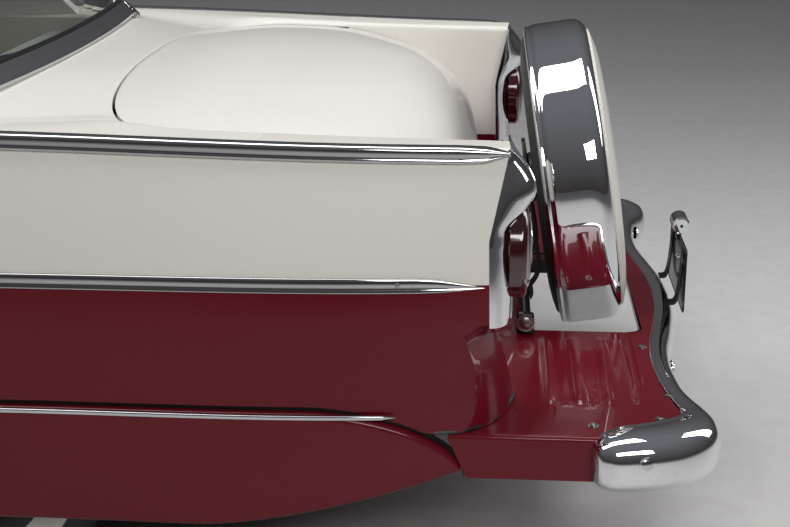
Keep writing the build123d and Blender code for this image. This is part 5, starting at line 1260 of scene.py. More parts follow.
def roof_sheet():
    """Crowned shell whose ends bow outwards in plan; its edge rolls down over the rails."""
    v = np.sin(np.linspace(-1, 1, 55) * math.pi / 2)[None, :]
    u = np.linspace(0, 1, 57)[:, None]
    rear, front = -0.760 + 0.150 * np.abs(v) ** 3, 0.648 - 0.112 * np.abs(v) ** 3
    x = rear + (front - rear) * u
    y = roof_at(x, 1) * v
    crown = (1 - np.abs(v) ** 2.6)
    end = 1 - eased(np.minimum(u, 1 - u), 0.0, 0.035)
    return sheet(x, y, roof_at(x, 2) + (roof_at(x, 3) - roof_at(x, 2)) * crown - 0.007 * end)


def outline_of(corners, each=8):
    """A closed polygon cut into even steps along each edge."""
    corners = np.array(corners, float)
    s = np.linspace(0, 1, each, endpoint=False)[None, :, None]
    return (corners[:, None] * (1 - s) + np.roll(corners, -1, 0)[:, None] * s).reshape(-1, 2)


def pillar():
    foot = outline_of([(-0.560, 0.806), (-0.560, 0.868), (-0.955, 0.864), (-0.955, 0.812)])
    head = outline_of([(-0.405, 0.580), (-0.405, 0.621), (-0.600, 0.606), (-0.600, 0.578)])
    t = np.linspace(0, 1, 40)[:, None]
    plan = foot[None] * (1 - t[..., None]) + head[None] * t[..., None]
    bow = np.sin(t * math.pi)
    rearness = (foot[:, 0] < -0.75)[None, :]
    x = plan[..., 0] + bow * np.where(rearness, 0.010, -0.022)
    y = plan[..., 1] + 0.012 * bow
    return sheet(x, y, 0.975 + (1.425 - 0.975) * t + 0 * x, close_columns=True)


def wind_x(y, z):
    """Windscreen: at each level an arc through its middle and both ends."""
    t = (z - GLASS_LOW) / (GLASS_HIGH - GLASS_LOW)
    front, side, half = 1.075 + (0.632 - 1.075) * t, 0.645 + (0.545 - 0.645) * t, 0.815 + (0.604 - 0.815) * t
    sag = front - side
    radius = (half**2 + sag**2) / (2 * sag)
    return front - radius + np.sqrt(np.maximum(radius**2 - y**2, 0.01))


def rear_x(y, z):
    """Rear glass: an arc across the middle, then a turn forwards past each corner."""
    t = (z - GLASS_LOW) / (GLASS_HIGH - GLASS_LOW)
    middle, corner_x, corner_y = -1.225 + 0.490 * t, -1.189 + 0.474 * t, 0.660 - 0.180 * t
    end_x, end_y = -0.960 + 0.360 * t, 0.806 - 0.216 * t
    sag = corner_x - middle
    radius = (corner_y**2 + sag**2) / (2 * sag)
    arc = middle + radius - np.sqrt(np.maximum(radius**2 - np.minimum(np.abs(y), corner_y) ** 2, 0.01))
    share = np.clip((np.abs(y) - corner_y) / (end_y - corner_y), 0, 1.2)
    return arc + (end_x - corner_x) * share**2.7


# name: surface, half width low and high, low and high edge, how far the glass lies inside, its frame's half width
SCREENS = {"wind": (wind_x, 0.772, 0.590, 1.046, 1.400, -0.016, 0.017),
           "rear": (rear_x, 0.742, 0.560, 1.062, 1.392, 0.006, 0.026)}


def pane(name):
    surface, low_half, high_half, low, high, inset, _ = SCREENS[name]
    w = np.linspace(-1, 1, 91)[None, :]
    z = np.linspace(low - 0.004, high + 0.004, 24)[:, None]
    half = low_half + (high_half - low_half) * (z - low) / (high - low)
    y = (half + 0.004) * w
    return facing(sheet(surface(y, z) + inset, y, z), (1 if name == "wind" else -1, 0, 0.6))


def pane_ring(name, out):
    """Path round a pane, moved outwards, with rounded corners."""
    surface, low_half, high_half, low, high, _, _ = SCREENS[name]
    corners = np.array([(-low_half - out, low - out), (low_half + out, low - out), (high_half + out * 0.8, high + out * 0.6),
                        (-high_half - out * 0.8, high + out * 0.6)])
    points = []
    for i, corner in enumerate(corners):
        before, after = corners[i - 1] - corner, corners[(i + 1) % 4] - corner
        before, after = (0.05 * v / np.linalg.norm(v) for v in (before, after))
        for s in np.linspace(0, 1, 9):
            points.append(corner + before * (1 - s) ** 2 + after * s**2)
        end = corners[(i + 1) % 4] - after
        start = corner + after
        points += [start + (end - start) * s for s in np.linspace(0, 1, 60)[1:-1]]
    y, z = np.array(points).T
    return np.stack([surface(y, z), y, z], axis=-1)


def screens():
    for name in SCREENS:
        half = SCREENS[name][6]
        path = pane_ring(name, half * 0.75)
        sign = 1 if name == "wind" else -1
        deep, proud = (0.020, 0.006) if name == "wind" else (0.022, 0.004)
        outline = [(-half, -deep), (-half, 0.0), (-half + 0.004, proud * 0.8), (-half * 0.35, proud), (-half * 0.2, proud * 0.5),
                   (half * 0.3, proud * 0.8), (half - 0.004, proud * 0.5), (half, -0.003), (half, -deep)]
        ring = swept(path, np.array(outline), up=(sign * 0.72, 0, 0.69), ring=True)
        piece(f"{name}_moulding", [ring], "chrome", closed=True,
              stands_for=["glass_frames"] if name == "wind" else ())
        inner = pane_ring(name, -0.001) + (sign * 0.001, 0, 0)
        gasket = swept(inner, circle(0.0055, 8), up=(sign * 0.72, 0, 0.69), ring=True)
        piece(f"{name}_gasket", [gasket], "seal", closed=True)
        piece(f"{name}_glass", [pane(name)], "glass", stands_for=["fixed_glass"] if name == "wind" else (),
              thick=0.005)
    clip_y = np.array([0.655, 0.667])
    clip = swept([(float(rear_x(np.array(y), np.array(1.036))), y, 1.036) for y in np.linspace(0.650, 0.672, 6)],
                 [(-0.030, -0.006), (-0.031, 0.002), (-0.024, 0.0062), (0.0, 0.0062), (0.024, 0.0052), (0.030, 0.0), (0.029, -0.006)],
                 up=(-0.72, 0, 0.69))
    piece("moulding_clips", [clip, mirrored(clip)], "bright", closed=True)


def greenhouse():
    piece("roof_skin", [facing(roof_sheet(), (0, 0, 1))], "ivory", stands_for=["roof"], thick=0.024,
          bevel=0.006)
    column = pillar()
    piece("roof_pillars", [column, mirrored(column)], "ivory", closed=True, sharp=50)
    headliner = roof_sheet()
    cloth = facing((headliner[0] * (0.965, 0.955, 1) - (0, 0, 0.0255), headliner[1]), (0, 0, -1))
    piece("headliner", [cloth], "board", thick=0.002)
    x = np.linspace(-0.600, 0.535, 60)
    rail = np.stack([x, roof_at(x, 1) + 0.002, roof_at(x, 2) - 0.012], axis=-1)
    drip = swept(rail, [(-0.004, -0.006), (0.006, -0.006), (0.008, -0.002), (0.005, 0.001), (0.003, -0.003), (-0.004, -0.002)])
    seal = rod(rail - (0, 0.020, 0.014), 0.008, 8)
    piece("drip_rails", [drip, mirrored(drip)], "bright", closed=True)
    piece("roof_seals", [seal, mirrored(seal)], "seal", closed=True)
    screens()


# Hood, fender tops and cowl grille

HOOD_HALF = 0.694
HOOD = np.array([(HOOD_REAR_X, 0.042), (1.700, 0.048), (2.150, 0.036), (NOSE_X, 0.014)])


def hood_sheet():
    """Crowned hood with a raised spine and two soft side creases, its front lip rolled down."""
    v = np.linspace(-1, 1, 73)[None, :]
    u = np.concatenate([np.linspace(0, 0.965, 44), np.linspace(0.970, 1, 14)])[:, None]
    x = HOOD_REAR_X + (NOSE_X - HOOD_REAR_X) * u
    crown = smooth_curve(HOOD, np.interp(x, HOOD[:, 0], np.arange(4)))[..., 1]
    y = HOOD_HALF * v
    fade = eased(x, HOOD_REAR_X, HOOD_REAR_X + 0.25)
    z = through(x, BELT_Z) - 0.006 + (crown + 0.006) * (1 - v**2)
    z = z + 0.0045 * np.exp(-((y / 0.045) ** 2)) * fade
    z = z + 0.0045 * eased(np.abs(y), 0.455, 0.425) * eased(np.abs(y), 0.20, 0.40) * fade
    lip = np.clip((x - (NOSE_X - 0.030)) / 0.030, 0, 1)
    return sheet(x, y, z - 0.026 * (1 - np.sqrt(1 - 0.9999 * lip**2)))


def fender_top():
    """Flat top of the front fender from the shoulder to its turned-down inner edge beside the hood."""
    x = np.linspace(DOOR_FRONT_X + DOOR_GAP / 2, NOSE_X - 0.001, 70)[:, None]
    half, top = through(x, BELT_Y) - SHOULDER, through(x, BELT_Z)
    share = np.clip((x - (NOSE_X - 0.076)) / 0.075, 0, 1)
    half = half - 0.050 * (1 - np.sqrt(1 - share**2 * 0.9999))
    s = np.linspace(0, 1, 10)[None, :]
    y = np.concatenate([half + (0.707 - half) * s, 0.702 + 0 * x, 0.700 + 0 * x, 0.700 + 0 * x], axis=1)
    z = np.concatenate([top + 0 * s, top - 0.002, top - 0.007, top - 0.045], axis=1)
    return facing(sheet(x, y, z), (0, 0, 1))


def front_deck():
    piece("hood_skin", [facing(hood_sheet(), (0, 0, 1))], "ivory", "hood", ["hood"], thick=0.020,
          bevel=0.003)
    ribs = []
    for y in (-0.45, -0.15, 0.15, 0.45):
        path = [(x, y, float(through(np.array(x), BELT_Z)) + 0.006 - 0.026 - 0.04 * y * y) for x in np.linspace(1.24, 2.33, 20)]
        ribs.append(swept(path, [(-0.03, 0.004), (0.03, 0.004), (0.018, -0.014), (-0.018, -0.014)]))
    for side in (1, -1):
        ribs.append(pad((HOOD_REAR_X + 0.008, side * 0.575 - 0.015, 0.920), (HOOD_REAR_X + 0.028, side * 0.575 + 0.015, 0.988),
                        0.2, 10))
    piece("hood_ribs", ribs, "ivory", "hood", closed=True)
    spear = np.linspace(1.86, 2.405, 40)
    height = through(spear, BELT_Z) + 0.052 - 0.030 * ((spear - 1.86) / 0.545) ** 2
    width = 0.010 * np.sin(np.linspace(0.12, 2.6, 40)) + 0.001
    outline = np.stack([np.stack([width * np.cos(a), 0.016 * (width / 0.011) * np.sin(a)], axis=-1)
                        for a in np.linspace(0, 2 * math.pi, 16, endpoint=False)], axis=1)
    ornament = swept(np.stack([spear, 0 * spear, height], axis=-1), outline)
    piece("hood_spear", [ornament], "chrome", "hood", closed=True)
    top = fender_top()
    piece("fender_tops", [top, mirrored(top)], "ivory", thick=0.004)
    slots = []
    for y in np.linspace(-0.42, 0.42, 29):
        z = float(through(np.array(1.120), BELT_Z)) - 0.010 + 0.034 * (1 - (y / 0.893) ** 2)
        slots.append(pad((1.098, y - 0.009, z - 0.002), (1.142, y + 0.009, z + 0.0035), 0.35, 8))
    piece("cowl_vent", slots, "bright", closed=True)
    arms = []
    for side in (1, -1):
        foot = np.array((1.110, side * 0.30, 1.030))
        arms.append(lathe([(0.016, 0.0), (0.016, 0.010), (0.009, 0.020), (0, 0.021)], foot, 2, 1, 20))
        tip = (0.985, side * 0.05, 1.118)
        arms.append(rod([foot + (0, 0, 0.016), foot + (-0.045, -side * 0.08, 0.045), tip], 0.004, 8, 16))
    piece("wiper_arms", arms, "bright", closed=True)


SHELF_Z = 0.9557


def parcel_shelf():
    """Pale board behind the rear seat with two oval speaker grilles in raised rims."""
    board = pad((GLASS_BASE_X + 0.022, -0.798, SHELF_Z - 0.012), (-0.862, 0.798, SHELF_Z), 0.06, 16)
    piece("shelf_board_top", [board], "board", stands_for=["parcel_shelf"], closed=True)
    rims, cloths = [], []
    turn = np.linspace(0, 2 * math.pi, 64, endpoint=False)
    for y in (0.205, -0.205):
        ring = np.stack([-0.985 + 0.108 * np.cos(turn), y + 0.150 * np.sin(turn), SHELF_Z + 0.002 + 0 * turn], axis=-1)
        rims.append(swept(ring, circle(0.006, 10, 0.7), ring=True))
        share = np.linspace(0, 1, 12)[None, :]
        cloths.append(facing(sheet(-0.985 + 0.106 * np.cos(turn)[:, None] * share, y + 0.148 * np.sin(turn)[:, None] * share,
                                   SHELF_Z + 0.002 + 0.006 * (1 - share**2), close_rows=True), (0, 0, 1)))
    piece("speaker_rims", rims, "black", closed=True)
    piece("speaker_cloths", cloths, "speaker")


greenhouse()
front_deck()
parcel_shelf()


# Wheels and tyres

CORNERS = [("front_left", FRONT_AXLE_X, 1), ("front_right", FRONT_AXLE_X, -1),
           ("rear_left", REAR_AXLE_X, 1), ("rear_right", REAR_AXLE_X, -1)]


def wheels():
    """Grooved tyre with a white wall, painted steel wheel with a rolled rim, and a fluted bright cap."""
    rim = [(0.1990, 0.0635), (0.2010, 0.0600), (0.1975, 0.0560), (0.1900, 0.0520), (0.1840, 0.040), (0.1760, 0.030),
           (0.1700, 0.010), (0.1700, -0.030), (0.1860, -0.050), (0.1990, -0.0575), (0.1990, -0.0630), (0.1860, -0.0560),
           (0.1620, -0.030), (0.1560, 0.006), (0.1500, 0.016), (0.1200, 0.022), (0.0900, 0.010), (0.0600, 0.004),
           (0.0440, 0.004), (0.0440, 0.009), (0.0880, 0.017), (0.1200, 0.030), (0.1480, 0.034), (0.1640, 0.033),
           (0.1740, 0.042), (0.1860, 0.0580), (0.1950, 0.0630)]
    rim = smooth_curve(rim, steps(rim, 44))
    cap = [(0.1280, 0.028), (0.1300, 0.034), (0.1270, 0.040), (0.1190, 0.043), (0.1080, 0.041), (0.0980, 0.043),
           (0.0860, 0.052), (0.0700, 0.062), (0.0560, 0.066), (0.0500, 0.063), (0.0440, 0.066), (0.0300, 0.0725),
           (0.0140, 0.0740), (0.0, 0.0740)]
    cap = smooth_curve(cap, steps(cap, 36))
    wall = [(0.2420, 0.0838), (0.2500, 0.0850), (0.2700, 0.0852), (0.2860, 0.0838), (0.2950, 0.0818), (0.2960, 0.0790),
            (0.2700, 0.0800), (0.2440, 0.0800)]
    wall = smooth_curve(wall, steps(wall, 18))
    for name, x, side in CORNERS:
        middle, body = (x, side * WHEEL_Y, AXLE_Z), f"wheel_{name}"
        tyre = lathe(tyre_profile(0.354, 0.1905, 0.0845, 0.0635), middle, 1, side, 240,
                     tread_dents(60, 0.006, 0.335, 0.345))
        piece(f"tyre_rubber_{name}", [tyre], "rubber", body, [f"tyre_{name}"], closed=True, sharp=50)
        band = lathe(wall, middle, 1, side, 96)
        piece(f"tyre_wall_{name}", [(band[0], quads(96, 18, True, True))], "wall", body, closed=True)
        disc = lathe(rim, middle, 1, side, 96)
        piece(f"wheel_steel_{name}", [(disc[0], quads(96, 44, True, True))], "crimson", body,
              [f"wheel_{name}"], closed=True)
        flutes = lathe(cap, middle, 1, side, 192,
                       lambda t, r, a: 0.0012 * np.cos(24 * t) * np.exp(-((r - 0.078) / 0.016) ** 2) * (a > 0.045))
        nuts = [bolt(np.array(middle) + (0.070 * math.cos(a), -side * 0.004, 0.070 * math.sin(a)), (0, -side, 0), 0.010, 0.012)
                for a in np.linspace(0, 2 * math.pi, 5, endpoint=False)]
        valve = rod([(x + 0.158, side * (WHEEL_Y + 0.030), AXLE_Z), (x + 0.150, side * (WHEEL_Y + 0.058), AXLE_Z)], 0.004, 8)
        piece(f"wheel_cap_{name}", [flutes, valve] + nuts, "chrome", body, closed=True)


# Seats: foam cushions under sewn covers

def puffed(thing, pressure=4.0, voxel=0.020, cap=0.012):
    """Swells a cushion with cloth pressure, its points held to a cap; slack sides pull in between the corners."""
    scene = bpy.context.scene
    remesh = thing.modifiers.new("even", "REMESH")
    remesh.mode, remesh.voxel_size = "VOXEL", voxel
    view = bpy.context.evaluated_depsgraph_get()
    mesh = bpy.data.meshes.new_from_object(thing.evaluated_get(view))
    thing.modifiers.clear()
    thing.data = mesh
    start = np.empty(len(mesh.vertices) * 3)
    mesh.vertices.foreach_get("co", start)
    cloth = thing.modifiers.new("swell", "CLOTH")
    cloth.settings.quality = 2
    cloth.settings.use_pressure = True
    cloth.settings.uniform_pressure_force = pressure
    cloth.settings.effector_weights.gravity = 0.0
    cloth.point_cache.frame_start, cloth.point_cache.frame_end = 1, 20
    for step in range(1, 21):
        scene.frame_set(step)
    view = bpy.context.evaluated_depsgraph_get()
    swollen = bpy.data.meshes.new_from_object(thing.evaluated_get(view))
    moved = np.empty(len(swollen.vertices) * 3)
    swollen.vertices.foreach_get("co", moved)
    move = (moved - start).reshape(-1, 3)
    length = np.linalg.norm(move, axis=1, keepdims=True)
    move *= np.minimum(1, cap / np.maximum(length, 1e-9))
    swollen.vertices.foreach_set("co", (start + move.ravel()))
    thing.modifiers.clear()
    thing.data = swollen
    finer = thing.modifiers.new("finer", "SUBSURF")
    finer.levels = finer.render_levels = 1
    view = bpy.context.evaluated_depsgraph_get()
    thing.data = bpy.data.meshes.new_from_object(thing.evaluated_get(view))
    thing.modifiers.clear()
    scene.frame_set(1)
    return thing


def pressed(thing, count, axis, depth, low, high):
    """Sewn channels: points near the upper face sink along evenly spaced lines across one axis."""
    mesh = thing.data
    points = np.empty(len(mesh.vertices) * 3)
    mesh.vertices.foreach_get("co", points)
    points = points.reshape(-1, 3)
    normals = np.empty(len(mesh.vertices) * 3)
    mesh.vertices.foreach_get("normal", normals)
    share = (points[:, axis] - low) / (high - low)
    line = np.abs(((share * count) % 1) - 0.5) * 2
    groove = np.exp(-((1 - line) / 0.16) ** 2) * (share > 0.04) * (share < 0.96)
    points -= normals.reshape(-1, 3) * (depth * groove)[:, None]
    mesh.vertices.foreach_set("co", points.ravel())
    mesh.update()


def cushion(name, profile, y0, y1, finish, channels=0, cap=0.010):
    """Cushion from its side view, carried across the car, then swollen, channelled and smoothed."""
    profile = np.array(profile, float)
    each = np.linspace(0, 1, 6, endpoint=False)[None, :, None]
    loop = (profile[:, None] * (1 - each) + np.roll(profile, -1, 0)[:, None] * each).reshape(-1, 2)
    middle = loop.mean(0)
    v = np.concatenate([[0, 0.006, 0.020, 0.045], np.linspace(0.075, 0.925, 40), [0.955, 0.980, 0.994, 1]])
    end = np.minimum(v, 1 - v) * (y1 - y0)
    shrink = 0.045 * (1 - np.sqrt(1 - (1 - np.clip(end / 0.045, 0, 1)) ** 2))
    reach = np.linalg.norm(loop - middle, axis=1)
    scale = 1 - shrink[:, None] / reach[None, :].max()
    x = middle[0] + (loop[:, 0] - middle[0])[None, :] * scale
    z = middle[1] + (loop[:, 1] - middle[1])[None, :] * scale
    y = (y0 + (y1 - y0) * v)[:, None] + 0 * x
    x, y, z = (np.concatenate([np.repeat(p[:1].mean(1, keepdims=True), p.shape[1], 1), p,
                               np.repeat(p[-1:].mean(1, keepdims=True), p.shape[1], 1)]) for p in (x, y, z))
    thing = piece(name, [sheet(x, y, z, close_columns=True)], finish, closed=True, sharp=180)
    puffed(thing, cap=cap)
    if channels:
        pressed(thing, channels, 1, 0.006, y0, y1)
    thing.data.shade_smooth()
    thing.data.materials.clear()
    thing.data.materials.append(FINISH[finish])
    return thing


def seats():
    """Bench seats front and rear: cushion and back apart, ivory bolsters round crimson pleated centres."""
    def shrunk(profile, by=0.010):
        points = np.array(profile, float)
        middle = points.mean(0)
        return points + (middle - points) / np.linalg.norm(middle - points, axis=1)[:, None] * by

    front_base = [(-0.060, 0.425), (0.440, 0.412), (0.495, 0.440), (0.515, 0.490), (0.500, 0.530), (0.465, 0.548),
                  (0.300, 0.540), (0.080, 0.522), (-0.040, 0.518)]
    front_back = [(0.055, 0.530), (0.030, 0.650), (0.000, 0.770), (-0.045, 0.880), (-0.085, 0.912), (-0.130, 0.905),
                  (-0.142, 0.870), (-0.118, 0.700), (-0.098, 0.530)]
    rear_base = [(-0.410, 0.432), (-0.730, 0.462), (-0.728, 0.590), (-0.560, 0.612), (-0.430, 0.618), (-0.375, 0.600),
                 (-0.362, 0.560), (-0.368, 0.500)]
    rear_back = [(-0.800, 0.535), (-0.748, 0.615), (-0.790, 0.860), (-0.808, 0.915), (-0.845, 0.930), (-0.872, 0.920),
                 (-0.873, 0.720), (-0.873, 0.535)]
    for name, profile, half in (("front_base", front_base, 0.660), ("front_back", front_back, 0.660),
                                ("rear_base", rear_base, 0.606), ("rear_back", rear_back, 0.606)):
        inner = shrunk(profile)
        cushion(f"seat_{name}_centre", inner, -half + 0.150, half - 0.150, "pleats", channels=14)
        for side, y0, y1 in (("left", half - 0.155, half - 0.004), ("right", -half + 0.004, -half + 0.155)):
            cushion(f"seat_{name}_{side}", inner, y0, y1, "vinyl")
    plinth = pad((-0.030, -0.655, 0.3075), (0.430, -0.125, 0.412), 0.1, 12)
    piping = []
    for side in (1, -1):
        for y in (0.508, 0.655):
            line = [(0.055, 0.528), (0.032, 0.650), (0.003, 0.770), (-0.042, 0.882), (-0.085, 0.915), (-0.130, 0.908)]
            piping.append(rod([(a - 0.004, side * y, b - 0.002) for a, b in line], 0.0042, 8, 60))
    piece("seat_plinths", [plinth, mirrored(plinth)], "chassis", stands_for=["seats"], closed=True)
    piece("seat_piping", piping, "vinyl", closed=True)
    sides = []
    for side in (1, -1):
        sides.append(pad((-0.100, side * 0.6645 - 0.004, 0.400), (0.120, side * 0.6645 + 0.004, 0.540), 0.3, 12))
    piece("seat_side_shields", sides, "chrome", closed=True)


# Dashboard and steering wheel

WHEEL_AT, RAKE = np.array((0.500, 0.360, 0.870)), math.radians(25)


def on_column(block):
    """A block made about the steering wheel's middle, its axle along Z, set on the raked column."""
    x, y, z = block[0].T
    c, s = math.cos(math.pi / 2 - RAKE), math.sin(math.pi / 2 - RAKE)
    return np.stack([WHEEL_AT[0] + x * c - z * s, WHEEL_AT[1] + y, WHEEL_AT[2] + x * s + z * c], axis=1), block[1]


def steering():
    turn = np.linspace(0, 2 * math.pi, 120, endpoint=False)
    grip = 0.0105 + 0.0008 * np.cos(turn * 36) * (np.abs(np.sin(turn)) > 0.5)
    ring_path = np.stack([0.205 * np.cos(turn), 0.205 * np.sin(turn), 0 * turn], axis=-1)
    outline = np.stack([np.stack([grip * np.cos(a), grip * np.sin(a)], axis=-1)
                        for a in np.linspace(0, 2 * math.pi, 14, endpoint=False)], axis=1)
    parts = [swept(ring_path, outline, ring=True)]
    for angle in (0, 180, 270):
        a = math.radians(angle)
        path = [(r * math.cos(a), r * math.sin(a), h) for r, h in ((0.028, 0.004), (0.07, 0.001), (0.13, -0.001), (0.200, 0.0))]
        path = smooth_curve(path, np.linspace(0, 3, 20))
        parts.append(swept(path, [(-0.009, -0.0035), (0.009, -0.0035), (0.009, 0.002), (0.004, 0.0042), (-0.004, 0.0042),
                                  (-0.009, 0.002)]))
    hub = [(0.0, 0.0002), (0.036, 0.0004), (0.038, -0.006), (0.036, -0.016), (0.030, -0.0252), (0.0, -0.0256)]
    hub_block = lathe([(r, z + 0.012) for r, z in hub], (0, 0, 0), 2, 1, 48)
    parts.append(hub_block)
    piece("steering_rim", [on_column(b) for b in parts], "wheel_rim", "steering_wheel",
          ["steering_wheel"], closed=True)
    half_ring = [(0.118 * math.cos(a), 0.118 * math.sin(a), 0.010) for a in np.linspace(math.pi, 2 * math.pi, 40)]
    horn = [rod(half_ring, 0.0035, 8), lathe([(0.024, 0.010), (0.024, 0.016), (0.018, 0.0195), (0, 0.021)], (0, 0, 0), 2, 1, 32)]
    piece("horn_ring", [on_column(b) for b in horn], "chrome", "steering_wheel", closed=True)


def dashboard():
    """Painted dash with a padded brow, a dial pod, a bright band and knobs."""
    profile = [(0.992, 0.772), (0.900, 0.778), (0.803, 0.796), (0.768, 0.812), (0.750, 0.838), (0.7475, 0.870),
               (0.752, 0.905), (0.766, 0.950), (0.790, 0.978), (0.828, 0.996), (0.900, 1.001), (0.992, 1.003)]
    profile = smooth_curve(profile, steps(profile, 70))
    y = np.linspace(-0.764, 0.764, 90)[:, None]
    x, z = profile[:, 0][None, :] + 0 * y, profile[:, 1][None, :] + 0 * y
    x, yy, z = (np.concatenate([np.repeat(p[:1].mean(1, keepdims=True), p.shape[1], 1), p,
                                np.repeat(p[-1:].mean(1, keepdims=True), p.shape[1], 1)]) for p in (x, y + 0 * x, z))
    piece("dash_shell", [sheet(x, yy, z)], "crimson", stands_for=["dashboard"], closed=True)
    brow = [(0.752, 0.925), (0.742 + 0.008, 0.940), (0.752, 0.962), (0.775, 0.985), (0.815, 1.000), (0.860, 1.005), (0.860, 0.985),
            (0.790, 0.965), (0.765, 0.930)]
    pad_piece = piece("dash_brow", [swept([(0, v, 0) for v in np.linspace(-0.755, 0.755, 40)],
                                          [(a, b) for a, b in smooth_curve(brow, steps(brow, 40))], up=(0, 0, 1))],
                      "leather_red", closed=True)
    face_x = 0.7475
    pod = []
    for place, radius in ((0.360, 0.075), (0.230, 0.045), (0.490, 0.045)):
        ring = [(radius, 0.004), (radius + 0.006, -0.002), (radius + 0.005, -0.008), (radius - 0.001, -0.006),
                (radius - 0.002, 0.004)]
        block = lathe(smooth_curve(ring, steps(ring, 24)), (face_x + 0.002, place, 0.868), 0, 1, 64)
        pod.append((block[0], quads(64, 24, True, True)))
    strip = pad((face_x - 0.004, -0.740, 0.895), (face_x + 0.004, 0.100, 0.907), 0.3, 12)
    knobs = [lathe([(0.004, 0.004), (0.004, -0.010), (0.011, -0.012), (0.012, -0.020), (0.009, -0.025), (0, -0.026)],
                   (face_x + 0.002, place, 0.860), 0, 1, 24) for place in (0.05, 0.12, -0.18, -0.30)]
    piece("dash_bright", pod + [strip] + knobs, "chrome", closed=True)
    faces = []
    for place, radius in ((0.360, 0.074), (0.230, 0.044), (0.490, 0.044)):
        faces.append(facing(lathe([(radius, 0.0), (radius * 0.5, 0.0005), (0, 0.0006)], (face_x, place, 0.868), 0, 1, 48),
                            (-1, 0, 0)))
    piece("dial_faces", faces, "black", thick=0.001)
    needles = [rod([(face_x - 0.003, place, 0.868), (face_x - 0.003, place + radius * 0.6, 0.868 + radius * 0.4)], 0.0012, 6)
               for place, radius in ((0.360, 0.074), (0.230, 0.044), (0.490, 0.044))]
    for place, radius, count in ((0.360, 0.062, 21), (0.230, 0.036, 9), (0.490, 0.036, 9)):
        for a in np.linspace(-0.7, math.pi + 0.7, count):
            inner, outer = (0, math.cos(a), math.sin(a)), (0, math.cos(a), math.sin(a))
            base = np.array((face_x - 0.002, place, 0.868))
            needles.append(rod([base + radius * 0.9 * np.array(inner), base + radius * 1.08 * np.array(outer)], 0.0009, 6))
    piece("dial_marks", needles, "wall", closed=True)


# Engine, front end

def engine():
    """Vee engine: block, two banks with ribbed covers, intake with a round air cleaner, and pulleys."""
    core = [pad((1.300, -0.180, 0.374), (1.900, 0.180, 0.640), 0.12, 16), pad((1.330, -0.120, 0.620), (1.860, 0.120, 0.740), 0.15, 14)]
    banks, covers = [], []
    for side in (1, -1):
        path = [(x, side * 0.165, 0.640) for x in np.linspace(1.320, 1.880, 12)]
        banks.append(swept(path, [(-0.070, -0.08), (0.070, -0.08), (0.075, 0.05), (-0.055, 0.05)]))
        path = [(x, side * 0.170, 0.705) for x in np.linspace(1.330, 1.870, 50)]
        rib = 1 + 0.03 * np.cos(np.linspace(0, 24 * math.pi, 50))
        outline = np.array([(-0.062, -0.018), (0.062, -0.018), (0.060, 0.012), (0.035, 0.035), (-0.035, 0.035), (-0.060, 0.012)])
        covers.append(swept(path, outline[None] * np.stack([np.ones(50), rib], axis=-1)[:, None]))
    cleaner = lathe([(0, 0.002), (0.120, 0.002), (0.128, 0.010), (0.128, 0.052), (0.118, 0.062), (0.030, 0.066), (0.016, 0.076),
                     (0, 0.077)], (1.560, 0, 0.7605), 2, 1, 64)
    pulleys = [lathe([(0, 0), (r, 0), (r + 0.004, 0.006), (r - 0.006, 0.014), (r + 0.004, 0.022), (r, 0.028), (0, 0.028)],
                     (1.9045, y, z), 0, 1, 48) for r, y, z in ((0.080, 0, 0.460), (0.060, 0, 0.600), (0.040, 0.140, 0.560))]
    piece("engine_core", core + banks + pulleys, "iron", stands_for=["engine_block"], closed=True)
    piece("engine_covers", covers, "crimson", closed=True)
    piece("air_cleaner", [cleaner], "black", closed=True)


GRILLE_HALF, GRILLE_LOW, GRILLE_HIGH = 0.600, 0.520, 0.800


